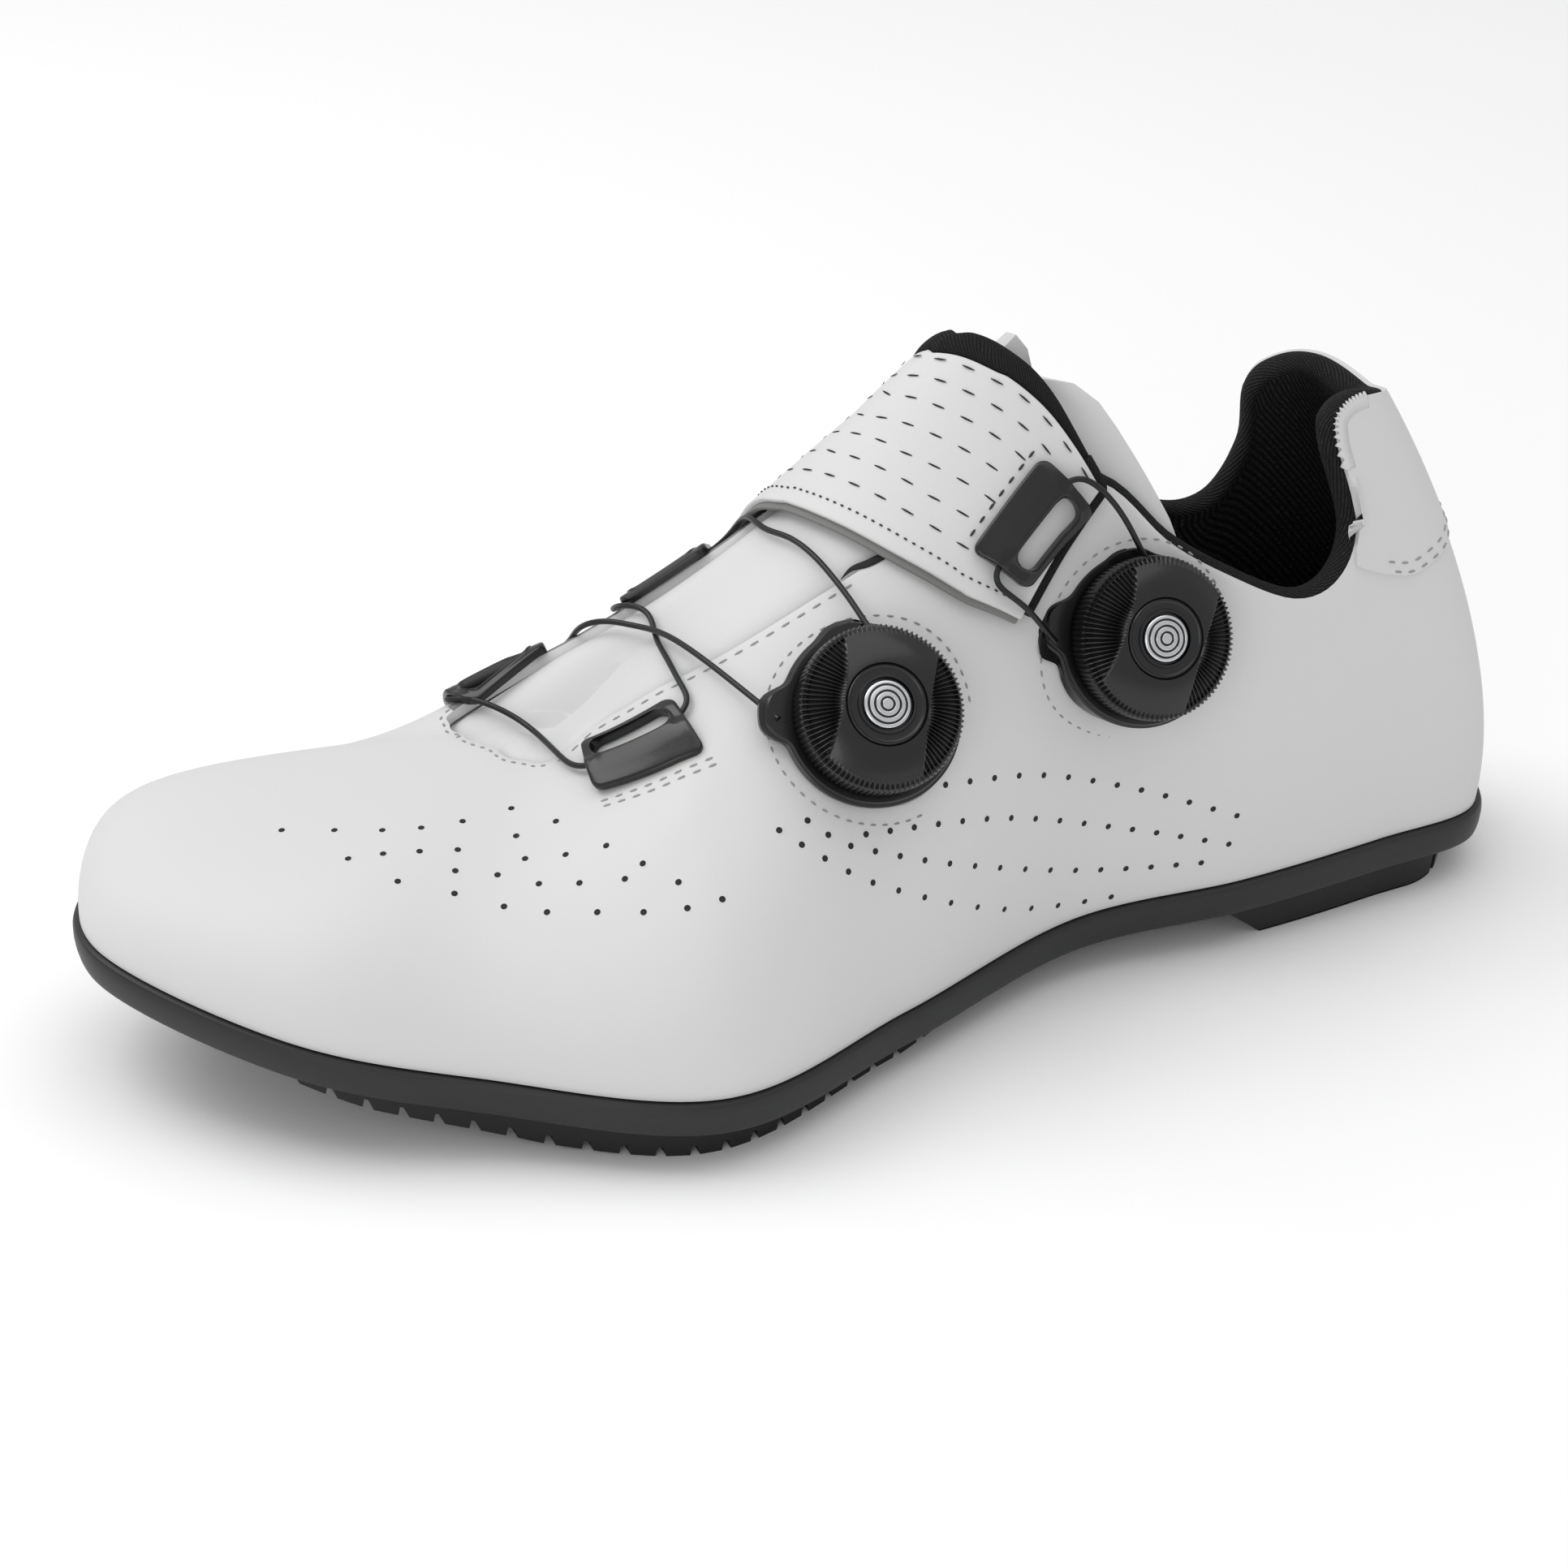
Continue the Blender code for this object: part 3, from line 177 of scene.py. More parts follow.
def skin(row, level):
    row, level = matched(row, level)
    values = lastRow(row)
    foot, top = featherLine(row), crestLine(values[..., 3])
    outward = foot - top
    outward[..., 2] = 0
    reach = np.maximum(np.linalg.norm(outward, axis=-1, keepdims=True), 1e-9)
    outward = outward / reach
    rise = (top - foot)[..., 2:3]
    lean = np.radians(values[..., 4:5])
    low = foot + values[..., 5:6] * rise * (np.cos(lean) * upward + np.sin(lean) * outward)
    high = top + values[..., 6:7] * reach * outward - values[..., 7:8] * rise * upward
    t = level[..., None]
    return (1 - t) ** 3 * foot + 3 * (1 - t) ** 2 * t * low + 3 * (1 - t) * t ** 2 * high + t ** 3 * top


def skinNormal(row, level):
    row, level = matched(row, level)
    low = np.clip(level - 0.001, 0, 0.985)
    along = skin(row - 0.01, low + 0.001) - skin(row + 0.01, low + 0.001)
    rising = skin(row, low + 0.002) - skin(row, low)
    out = np.cross(along, rising)
    return out / np.maximum(np.linalg.norm(out, axis=-1, keepdims=True), 1e-12)


rowStep, levelStep = 0.02, 0.005


def slopes(row, level):
    # How the skin runs on for each row and for each level.
    byRow = (skin(row + rowStep, level) - skin(row - rowStep, level)) / (2 * rowStep)
    byLevel = (skin(row, level + levelStep) - skin(row, level - levelStep)) / (2 * levelStep)
    return byRow, byLevel


def standDirection(vectors):
    vectors = np.asarray(vectors, float)
    cosine, sine = math.cos(last["pitch"]), math.sin(last["pitch"])
    return np.stack([vectors[..., 0] * cosine - vectors[..., 2] * sine, vectors[..., 1],
                     vectors[..., 0] * sine + vectors[..., 2] * cosine], -1)


def stand(points):
    # The last as it stands on its sole, pitched, with the origin under the heel.
    centre = np.array([last["pitchCentre"] * last["length"], 0.0, 0.0])
    return standDirection(np.asarray(points, float) - centre) + centre - np.array([last["originAlong"], 0.0, 0.0])


def overSkin(row, level, height=0.0):
    height = np.asarray(height, float)[..., None]
    return stand(skin(row, level) + skinNormal(row, level) * height)


outerRows = np.linspace(0, toeRow, 900)
innerRows = np.linspace(toeRow, rowCount, 900)
outerCrests = lastRow(outerRows)[:, 3]
innerCrests = lastRow(innerRows)[:, 3]


def across(along, side):
    along, side = matched(along, side)
    outer = np.interp(along, outerCrests, outerRows)
    inner = np.interp(-along, -innerCrests, innerRows)
    return np.where(side >= 0, outer, inner), 1 - np.abs(side)


def spreadRows(count):
    rows = []
    for first, end in ((0, toeRow), (toeRow, rowCount)):
        fine = np.linspace(first, end, 1600)
        run = runAlong(featherLine(fine))
        rows.append(np.interp(np.linspace(0, run[-1], count // 2 + 1)[:-1], run, fine))
    return np.concatenate(rows)


def opening(row):
    place = np.interp(np.asarray(row, float) % rowCount, openingRows[:, 0], np.arange(len(openingRows)))
    values = curveThrough(openingRows, np.clip(place, 0, len(openingRows) - endGap))
    return values[..., 1], values[..., 2]


def nearRow(row, base):
    return np.where(np.abs(row - base) > toeRow, row - rowCount * np.sign(row - base), row)


# Camera: the view that the outline of the shoe in the photograph gives.
camera = {
    "azimuth": 24.46,
    "elevation": 28.02,
    "roll": -1.43,
    "distance": 0.73089,
    "target": (0.145, 0.0, 0.05),
    "focalPixels": 4623.79,
    "centrePixels": (1015.22, 907.8),
    "frame": 1932,
    "sensor": 36,
}


def makeCamera():
    azimuth, elevation, roll = (math.radians(camera[key]) for key in ("azimuth", "elevation", "roll"))
    level = np.array([math.sin(azimuth), math.cos(azimuth), 0.0])
    back = math.cos(elevation) * level + math.sin(elevation) * upward
    right = np.array([-math.cos(azimuth), math.sin(azimuth), 0.0])
    top = math.cos(elevation) * upward - math.sin(elevation) * level
    right, top = (math.cos(roll) * right - math.sin(roll) * top, math.sin(roll) * right + math.cos(roll) * top)
    place = stand(np.array(camera["target"]) + back * camera["distance"])
    turn = Matrix([Vector(standDirection(axis)) for axis in (right, top, back)]).transposed()
    lens = bpy.data.cameras.new("photoCamera")
    lens.sensor_width = camera["sensor"]
    lens.lens = camera["focalPixels"] / camera["frame"] * camera["sensor"]
    half = camera["frame"] / 2
    lens.shift_x = (half - camera["centrePixels"][0]) / camera["frame"]
    lens.shift_y = (camera["centrePixels"][1] - half) / camera["frame"]
    lens.clip_start = 0.01
    holder = bpy.data.objects.new("photoCamera", lens)
    bpy.context.collection.objects.link(holder)
    holder.matrix_world = Matrix.Translation(Vector(place)) @ turn.to_4x4()
    bpy.context.scene.camera = holder
    return Vector(place), turn


cameraPlace, cameraTurn = makeCamera()


def pixelRay(x, y):
    sight = Vector(((x - camera["centrePixels"][0]) / camera["focalPixels"],
                    (camera["centrePixels"][1] - y) / camera["focalPixels"], -1))
    return (cameraTurn @ sight).normalized()


# Materials
def colour(text):
    parts = [int(text[i:i + 2], 16) / 255 for i in (1, 3, 5)]
    return tuple(c / 12.92 if c <= 0.04045 else ((c + 0.055) / 1.055) ** 2.4 for c in parts) + (1.0,)


def addNode(tree, kind, links=None, **settings):
    node = tree.nodes.new(kind)
    for key, value in settings.items():
        if key in node.inputs:
            node.inputs[key].default_value = value
        else:
            setattr(node, key, value)
    for key, source in (links or {}).items():
        tree.links.new(source, node.inputs[key])
    return node


def newMaterial(name, base, roughness, sockets=None):
    material = bpy.data.materials.new(name)
    material.use_nodes = True
    shader = material.node_tree.nodes["Principled BSDF"]
    shader.inputs["Base Color"].default_value = colour(base)
    shader.inputs["Roughness"].default_value = roughness
    for key, value in (sockets or {}).items():
        shader.inputs[key].default_value = value
    return material, material.node_tree, shader


def addBump(tree, shader, height, strength, distance):
    bump = addNode(tree, "ShaderNodeBump", {"Height": height}, Strength=strength, Distance=distance)
    tree.links.new(bump.outputs["Normal"], shader.inputs["Normal"])


finish = {
    "leatherWhite": "#d3d3d3",
    "meshBlack": "#0b0b0c",
    "meshRibPaintedLight": "#3b3b3c",
    "nylonBlack": "#0c0c0d",
    "rubberBand": "#171718",
    "rubberTread": "#0b0b0c",
    "capSilver": "#d5d6d8",
    "wireBlack": "#171718",
    "threadGrey": "#989897",
    "threadDark": "#303031",
    "holePaintedShade": "#242425",
    "edgeGreyAndShade": "#7c7c7b",
}


def makeLeather():
    # Coated microfibre, embossed and calendered: a satin skin with a very fine grain.
    material, tree, shader = newMaterial("coatedMicrofibre", finish["leatherWhite"], 0.56,
                                         {"Specular IOR Level": 0.35})
    place = addNode(tree, "ShaderNodeTexCoord").outputs["Object"]
    grain = addNode(tree, "ShaderNodeTexNoise", {"Vector": place}, Scale=1500.0, Detail=3.0, Roughness=0.6)
    addBump(tree, shader, grain.outputs["Fac"], 0.25, 0.00004)
    mottle = addNode(tree, "ShaderNodeTexNoise", {"Vector": place}, Scale=60.0, Detail=2.0)
    gloss = addNode(tree, "ShaderNodeMapRange", {"Value": mottle.outputs["Fac"]},
                    **{"To Min": 0.52, "To Max": 0.62})
    tree.links.new(gloss.outputs["Result"], shader.inputs["Roughness"])
    return material


def makeMesh(name, ribAlong, ribPitch):
    # Knitted polyester mesh: matt ribs with dark gaps between them; the colour is lighter where the bump is higher,
    # painted highlight on the rib tops and painted shade in the gaps.
    material, tree, shader = newMaterial(name, finish["meshBlack"], 0.88, {"Specular IOR Level": 0.25})
    uv = addNode(tree, "ShaderNodeTexCoord").outputs["UV"]
    turned = addNode(tree, "ShaderNodeMapping", {"Vector": uv}, Rotation=(0, 0, ribAlong))
    rib = addNode(tree, "ShaderNodeTexWave", {"Vector": turned.outputs["Vector"]}, Scale=ribPitch, Distortion=0.6,
                  Detail=1.0, **{"Detail Scale": 6.0})
    knit = addNode(tree, "ShaderNodeTexVoronoi", {"Vector": uv}, Scale=ribPitch * 7)
    both = addNode(tree, "ShaderNodeMath", {0: rib.outputs["Fac"], 1: knit.outputs["Distance"]},
                   operation="MULTIPLY")
    addBump(tree, shader, both.outputs["Value"], 0.8, 0.0006)
    # Colour follows the bump height: painted highlight on the ribs, painted shade between them.
    shade = addNode(tree, "ShaderNodeMix", {"Factor": both.outputs["Value"]}, data_type="RGBA")
    shade.inputs[6].default_value = colour(finish["meshBlack"])
    shade.inputs[7].default_value = colour(finish["meshRibPaintedLight"])
    tree.links.new(shade.outputs[2], shader.inputs["Base Color"])
    return material


def makeGrained(name, base, roughness, grain, depth, coat=0.0, metallic=0.0):
    # Moulded skin: a fine, slightly uneven surface from the tool.
    material, tree, shader = newMaterial(name, base, roughness, {"Coat Weight": coat, "Metallic": metallic})
    place = addNode(tree, "ShaderNodeTexCoord").outputs["Object"]
    noise = addNode(tree, "ShaderNodeTexNoise", {"Vector": place}, Scale=1 / grain, Detail=2.0)
    addBump(tree, shader, noise.outputs["Fac"], 0.4, depth)
    return material


leather = makeLeather()
liningMesh = makeMesh("knittedMeshLining", 0.6, 21.0)
bindingMesh = makeMesh("wovenBinding", 1.1, 60.0)
nylon = makeGrained("mouldedNylon", finish["nylonBlack"], 0.27, 0.0009, 0.00003, coat=0.1)
bandRubber = makeGrained("rubberSideBand", finish["rubberBand"], 0.50, 0.0007, 0.00004)
treadRubber = makeGrained("rubberTread", finish["rubberTread"], 0.62, 0.0009, 0.00006)
capAlloy = makeGrained("turnedAluminium", finish["capSilver"], 0.26, 0.0012, 0.00001, metallic=1.0)
wireCoat = makeGrained("coatedSteelWire", finish["wireBlack"], 0.34, 0.0005, 0.00003, metallic=0.2)
greyThread = makeGrained("polyesterThreadGrey", finish["threadGrey"], 0.7, 0.0003, 0.00003)
darkThread = makeGrained("polyesterThreadDark", finish["threadDark"], 0.7, 0.0003, 0.00003)
# Dark grey of the punched holes and slits: painted shade inside the cuts.
paintedHoleShade = makeGrained("punchedHolePaintedShade", finish["holePaintedShade"], 0.9, 0.0004, 0.00001)
# Mid grey of the cut edges: their own grey, darkened further as painted shade for the thin shadow under the strap's
# front edge.
cutEdgeAndShade = makeGrained("cutMicrofibreEdgeAndShade", finish["edgeGreyAndShade"], 0.85, 0.0004, 0.00004)
foamCover = makeMesh("insoleCover", 0.0, 60.0)
print("materials made")


# A point inside the shoe, from which every skin faces away
insideShoe = Vector((0.11, 0.0, 0.045))


def finishPiece(name, work, material, replaced=(), smoothAngle=40):
    mesh = bpy.data.meshes.new(name)
    work.to_mesh(mesh)
    work.free()
    mesh.materials.append(material)
    mesh.shade_smooth()
    mesh.set_sharp_from_angle(angle=math.radians(smoothAngle))
    piece = bpy.data.objects.new(name, mesh)
    bpy.context.collection.objects.link(piece)
    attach(piece, "root")
    if replaced:
        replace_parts(piece, *replaced)
    return piece


def gridOf(points, closedAcross=False, closedAlong=False, around=None):
    # A grid whose corners are moved to points[column, line]; a closed one has its first line repeated.
    points = np.asarray(points, float)
    if closedAcross:
        points = np.concatenate([points, points[:1]])
    if closedAlong:
        points = np.concatenate([points, points[:, :1]], axis=1)
    columns, lines = points.shape[:2]
    work = bmesh.new()
    bmesh.ops.create_grid(work, x_segments=columns - 1, y_segments=lines - 1, size=0.5)
    uvLayer = work.loops.layers.uv.new("UVMap")
    run = np.linalg.norm(np.diff(points[:, lines // 2], axis=0), axis=1).sum()
    height = np.linalg.norm(np.diff(points[columns // 2], axis=0), axis=1).sum()
    for face in work.faces:
        for loop in face.loops:
            loop[uvLayer].uv = ((loop.vert.co.x + 0.5) * run * 10, (loop.vert.co.y + 0.5) * height * 10)
    for vert in work.verts:
        column, line = round((vert.co.x + 0.5) * (columns - 1)), round((vert.co.y + 0.5) * (lines - 1))
        vert.co = Vector(points[column, line])
    bmesh.ops.remove_doubles(work, verts=work.verts, dist=2e-6)
    if around is None:
        bmesh.ops.recalc_face_normals(work, faces=work.faces)
    else:
        outward = sum(face.normal.dot(face.calc_center_median() - around) * face.calc_area() for face in work.faces)
        if outward < 0:
            bmesh.ops.reverse_faces(work, faces=work.faces)
    return work


def addWall(piece, thickness, rim, segments=2):
    # A wall towards the inside, with its edges rounded.
    wall = piece.modifiers.new("wall", "SOLIDIFY")
    wall.thickness = thickness
    wall.offset = -1.0
    if rim:
        bevel = piece.modifiers.new("rim", "BEVEL")
        bevel.width = rim
        bevel.segments = segments
        bevel.limit_method = "ANGLE"
        bevel.angle_limit = math.radians(50)


# Upper shell
upper = {"columns": 360, "levels": 60, "wall": 0.0022, "rim": 0.0005}

# Soft forms of the worn-in skin: a path of rows and levels, half width and depth, troughs below zero.
skinForms = (
    (((6.9, 0.60), (6.6, 0.70), (6.3, 0.80)), 0.0060, -0.0007),
    (((6.35, 0.52), (6.0, 0.62), (5.7, 0.74)), 0.0055, 0.0005),
    (((2.9, 0.27), (2.3, 0.29), (1.9, 0.34)), 0.0070, -0.0006),
    (((3.9, 0.30), (3.2, 0.22), (2.4, 0.22)), 0.0110, 0.0006),
    (((4.6, 0.62), (4.4, 0.52), (4.3, 0.42)), 0.0060, -0.0008),
    (((15.9, 0.33), (15.3, 0.27), (14.6, 0.36)), 0.0070, -0.0006),
    (((11.9, 0.50), (12.6, 0.52), (13.4, 0.60)), 0.0070, -0.0005),
    (((11.2, 0.55), (11.6, 0.46), (11.9, 0.34)), 0.0065, -0.0006),
    (((11.6, 0.60), (12.0, 0.48), (12.3, 0.34)), 0.0060, 0.0004),
)
formSteps, formFade = 40, 0.15


def softForms(points):
    height = np.zeros(points.shape[:-1])
    for path, width, depth in skinForms:
        places = smoothCurve(path, formSteps)
        line = overSkin(places[:, 0], places[:, 1])
        fade = np.sin(np.linspace(formFade, math.pi - formFade, formSteps))
        apart = np.linalg.norm(points[:, :, None] - line, axis=-1)
        height += depth * (np.exp(-(apart / width) ** 2) * fade).max(axis=2)
    return height


def upperPoints():
    rows = spreadRows(upper["columns"])
    toRow, level = opening(rows)
    toRow = nearRow(toRow, rows)
    share = np.linspace(0, 1, upper["levels"] + 1)
    gridRows = rows[:, None] + (toRow - rows)[:, None] * share ** 2
    points = overSkin(gridRows, level[:, None] * share, np.zeros(gridRows.shape))
    outward = standDirection(skinNormal(gridRows, level[:, None] * share))
    return points + outward * softForms(points)[..., None]


shell = finishPiece("upperShell", gridOf(upperPoints(), closedAcross=True, around=insideShoe), leather,
                    ["upper"])
addWall(shell, upper["wall"], upper["rim"])
shellWork = bmesh.new()
shellWork.from_mesh(shell.data)
shellTree = BVHTree.FromBMesh(shellWork)
shellWork.free()
print("upper made")

# Heel panel, lapped over the shell above its seam, its collar edge pinked
heelPanel = {"columns": 300, "lines": 22, "step": 0.0007, "rim": 0.0002, "ends": 2.49, "lap": 0.0004}
pinkedEdge = {"rows": (1.22, 2.10), "teeth": 16, "back": 0.0022, "start": -0.0002, "depth": 0.0012,
              "lift": 0.00012, "flat": 0.00005, "wall": 0.0006}
heelSeam = ((-2.16, 0.370), (-1.96, 0.355), (-1.68, 0.346), (-1.40, 0.357), (-1.05, 0.375), (-0.70, 0.398),
            (0.0, 0.412), (0.70, 0.398), (1.05, 0.375), (1.40, 0.357), (1.68, 0.346), (1.96, 0.355), (2.16, 0.370))


def pastEdge(rows, distance):
    # Row and level at distances past the opening's edge, square to it along the skin.
    row, level = opening(rows)
    rowOn, levelOn = opening(rows + rowStep)
    rowBack, levelBack = opening(rows - rowStep)
    byRow, byLevel = slopes(row, level)
    run = (rowOn - rowBack + toeRow) % rowCount - toeRow
    along = byRow * run[:, None] + byLevel * (levelOn - levelBack)[:, None]
    side = np.cross(along, skinNormal(row, level))
    side = side / np.linalg.norm(side, axis=1, keepdims=True)
    moved = np.array([np.linalg.lstsq(np.stack([a, b], -1), c, rcond=None)[0]
                      for a, b, c in zip(byRow, byLevel, side)])
    distance = np.asarray(distance)
    return row[:, None] + moved[:, :1] * distance, level[:, None] + moved[:, 1:] * distance


def heelPanelPoints():
    seam = smoothCurve(heelSeam, heelPanel["columns"])
    starts = np.linspace(-heelPanel["ends"], heelPanel["ends"], heelPanel["columns"])
    toRow, level = opening(starts)
    toRow, level = nearRow(toRow, starts), level[:, None]
    share = np.linspace(0, 1, heelPanel["lines"])
    rows = seam[:, :1] + (toRow[:, None] - seam[:, :1]) * share
    levels = seam[:, 1:] + (level - seam[:, 1:]) * share
    return overSkin(rows, levels, np.full(rows.shape, heelPanel["step"]))


heel = finishPiece("heelPanel", gridOf(heelPanelPoints(), around=insideShoe), leather)
addWall(heel, heelPanel["step"] + heelPanel["lap"], heelPanel["rim"])
teeth = 4 * pinkedEdge["teeth"] + 1
zigzag = 1 - np.abs((np.arange(teeth) / 4) % 1 - 0.5) * 2
reach = np.stack([np.full(teeth, -pinkedEdge["back"]), np.full(teeth, pinkedEdge["start"]),
                  pinkedEdge["start"] + pinkedEdge["depth"] * zigzag + pinkedEdge["flat"]], -1)
pastRows, pastLevels = pastEdge(np.linspace(*pinkedEdge["rows"], teeth), reach)
strip = overSkin(pastRows, pastLevels, np.full(reach.shape, heelPanel["step"] + pinkedEdge["lift"]))
pinked = finishPiece("pinkedEdge", gridOf(strip, around=insideShoe), leather)
addWall(pinked, pinkedEdge["wall"], 0)
print("heel panel made")

# Collar lining
lining = {"foot": 0.055, "reach": (13.95, 4.2), "wall": 0.0034, "proud": 0.0019, "edgeWall": 0.0017,
          "thin": (2.7, 3.4), "clear": 0.0003, "columns": 720, "lines": 30, "top": 0.93}


def liningPoints():
    rows = spreadRows(lining["columns"])
    begin, end = lining["reach"]
    rows = np.concatenate([rows[rows >= begin], rows[rows <= end]])[::2]
    toRow, level = opening(rows)
    toRow = nearRow(toRow, rows)
    share = np.linspace(0, lining["top"], lining["lines"])
    levels = lining["foot"] + (level[:, None] - lining["foot"]) * share
    gridRows = rows[:, None] + (toRow - rows)[:, None] * (levels / level[:, None]) ** 2
    fromHeel = np.minimum(rows, rowCount - rows)
    wall = lining["wall"] + (lining["edgeWall"] - lining["wall"]) * softStep(fromHeel, *lining["thin"])
    turn = np.linspace(0, math.pi, 11)
    pastRows, pastLevels = pastEdge(rows, (lining["proud"] * np.sin(turn) - 0.0002) * np.ones((len(rows), 1)))
    clear = lining["clear"]
    gap = upper["wall"] + clear
    outer = overSkin(gridRows, levels, np.full(levels.shape, -gap))
    curl = overSkin(pastRows, pastLevels, -clear - 0.5 * (gap + wall[:, None] - clear) * (1 - np.cos(turn)))
    inner = overSkin(gridRows, levels, -gap - wall[:, None] * np.ones(levels.shape))
    return np.concatenate([outer, curl, inner[:, ::-1]], axis=1)


finishPiece("collarLining", gridOf(liningPoints(), around=Vector((0.0, 0.0, -1.0))), liningMesh,
            ["collar_lining"])
print("lining made")

# Tongue: one sheet under both facings
tongue = {
    "columns": 320,
    "wall": 0.0024,
    "lap": 0.085,
    "tuck": 0.62,
    "settle": (0.41, 0.50),
    "reach": (4.3, 13.75),
    "pole": 0.012,
    "flush": 0.0003,
    "facing": 0.0028,
    "deep": 0.0047,
    "ear": (-0.22, 0.055, 0.0040),
    "seam": 0.003,
    "seamRise": 0.009,
    "steps": 14,
    "passes": 12,
}
tongueTop = np.array((
    (-0.62, 0.338), (-0.45, 0.350), (-0.30, 0.362), (-0.22, 0.366), (-0.16, 0.388), (-0.06, 0.403),
    (0.06, 0.406), (0.17, 0.396), (0.24, 0.368), (0.30, 0.357), (0.42, 0.346), (0.55, 0.333),
))


def tonguePoints():
    rows = spreadRows(tongue["columns"])
    toRow, edge = opening(rows)
    half = tongue["columns"] // 2
    first = min(j for j in range(half)
                if rows[j] >= tongue["reach"][0] and rows[tongue["columns"] - j] <= tongue["reach"][1])
    lineShare = np.array((0.0, 0.5, 1.0, 1.15, 1.4, 1.7, 2.0, 2.5, 3.0, 3.5, 4.0, 4.5, 5.0, 5.5, 6.0))
    outerRise = softStep(lineShare, 1.0, 2.0)
    innerRise = 0.55 * softStep(lineShare, 1.0, 2.6) + 0.45 * softStep(lineShare, 2.6, 4.0)

    def heights(settle, sign):
        # Deep under the facings, and flush with them inside the throat.
        under = tongue["deep"] + (tongue["facing"] - tongue["deep"]) * settle
        return -under - (tongue["flush"] - under) * (outerRise if sign > 0 else innerRise) * settle

    columns = []
    for j in range(first, tongue["columns"] - first + 1):
        own, other = (lastRow(toRow[column])[3] for column in (j, tongue["columns"] - j))
        sign = 1 if j < half else -1
        wide = 1 - edge[j]
        shared = 0.5 * (own + other)
        pole = shared > last["crestEnd"] - tongue["pole"]
        seam = wide - tongue["seam"]
        lines = np.interp(lineShare, (0, 1, 2, 6),
                          (wide + tongue["lap"], seam, seam - min(tongue["seamRise"], 0.2 * wide), 0.0))
        if pole:
            columns.append((np.full(len(lines), toRow[j]), 1 - lines, heights(1.0, sign)))
        else:
            tucked = 1 - softStep(shared, *tongue["settle"])
            places = own + (shared - own) * (1 - np.clip(lines / wide, 0, 1))
            columns.append((*across(places, sign * np.maximum(lines, 1e-6)), heights(1 - tucked, sign)))
    for sign, neighbour in ((1, columns[0]), (-1, columns[-1])):
        made = []
        for share in np.linspace(0, 1, tongue["steps"])[1:]:
            lines = (1 - neighbour[1]) * (1 - share) + tongue["tuck"] * share * (1 - lineShare / 6)
            own = lastRow(neighbour[0])[:, 3]
            edgePlace = np.interp(sign * lines, tongueTop[:, 0], tongueTop[:, 1])
            middle, spread, lift = tongue["ear"]
            flare = lift * np.exp(-((sign * lines - middle) / spread) ** 2) * softStep(share, 0.55, 1.0)
            made.append((*across(own + (edgePlace - own) * share, sign * np.maximum(lines, 1e-6)),
                         flare - tongue["deep"]))
        columns = made[::-1] + columns if sign > 0 else columns + made
    grid = np.array([overSkin(*column) for column in columns])
    for _ in range(tongue["passes"]):
        around = grid[:-2, 3:-1] + grid[2:, 3:-1] + grid[1:-1, 2:-2] + grid[1:-1, 4:]
        grid[1:-1, 3:-1] = 0.5 * grid[1:-1, 3:-1] + 0.125 * around
    grid[:, -1] = 0.5 * (grid[:, -1] + grid[::-1, -1])
    apex = np.linalg.norm(grid[:, -1] - grid[len(grid) // 2, -1], axis=1) < tongue["pole"] * last["length"]
    grid[apex, -1] = grid[apex, -1].mean(axis=0)
    return grid


tongueSheet = finishPiece("tongueSheet", gridOf(tonguePoints(), around=insideShoe), leather,
                          ["tongue"])
addWall(tongueSheet, tongue["wall"], 0.0005)
print("tongue made")

# Strap: white face over a dark pad, with a bound rear edge
strap = {"base": 0.0006, "lift": 0.0008, "pad": 0.0010, "face": 0.0012, "slant": 0.095, "rimWidth": 0.0042,
         "rimHeight": 0.0026}
strapRows = np.array((
    (0.52, 0.4330, 0.3735), (0.43, 0.4580, 0.3810), (0.35, 0.4750, 0.3875), (0.27, 0.4890, 0.3950),
    (0.18, 0.5010, 0.4035), (0.08, 0.5115, 0.4110), (-0.02, 0.5185, 0.4190), (-0.12, 0.5195, 0.4240),
    (-0.30, 0.5170, 0.4250), (-0.50, 0.5110, 0.4180), (-0.66, 0.5040, 0.4080),
))


def strapPlace(run, share, height):
    # run 0 at the outer end, 1 at the root; share 0 at the front edge, 1 at the rear.
    run, share, height = matched(run, share, height)
    values = curveThrough(strapRows, np.clip(run * (len(strapRows) - 1), 0, len(strapRows) - endGap))
    side = values[..., 0]
    lines = side - strap["slant"] * share * softStep(side, -0.1, strapRows[0, 0])
    row, level = across(values[..., 1] + (values[..., 2] - values[..., 1]) * share, lines)
    base = strap["base"] + strap["lift"] * np.exp(-(side / 0.25) ** 2)
    return overSkin(row, level, base + height)


runs = np.linspace(0, 1, 161)
shares = np.linspace(0, 1, 41)


def strapDip(run, share):
    # The strap follows the top of the instep, and sinks a little between its sewn edges.
    return 0.00025 * np.sin(math.pi * np.clip(share, 0, 1)) * softStep(run, 0.0, 0.2) - 0.0001


faceTop = strapPlace(runs[:, None], shares, strap["pad"] + strap["face"] + strapDip(runs[:, None], shares))
strapFace = finishPiece("strapFace", gridOf(faceTop, around=insideShoe), leather, ["strap"])
addWall(strapFace, strap["face"], 0.0004)
padTop = strapPlace(runs[:, None], np.linspace(-0.035, 0.98, 21), strap["pad"])
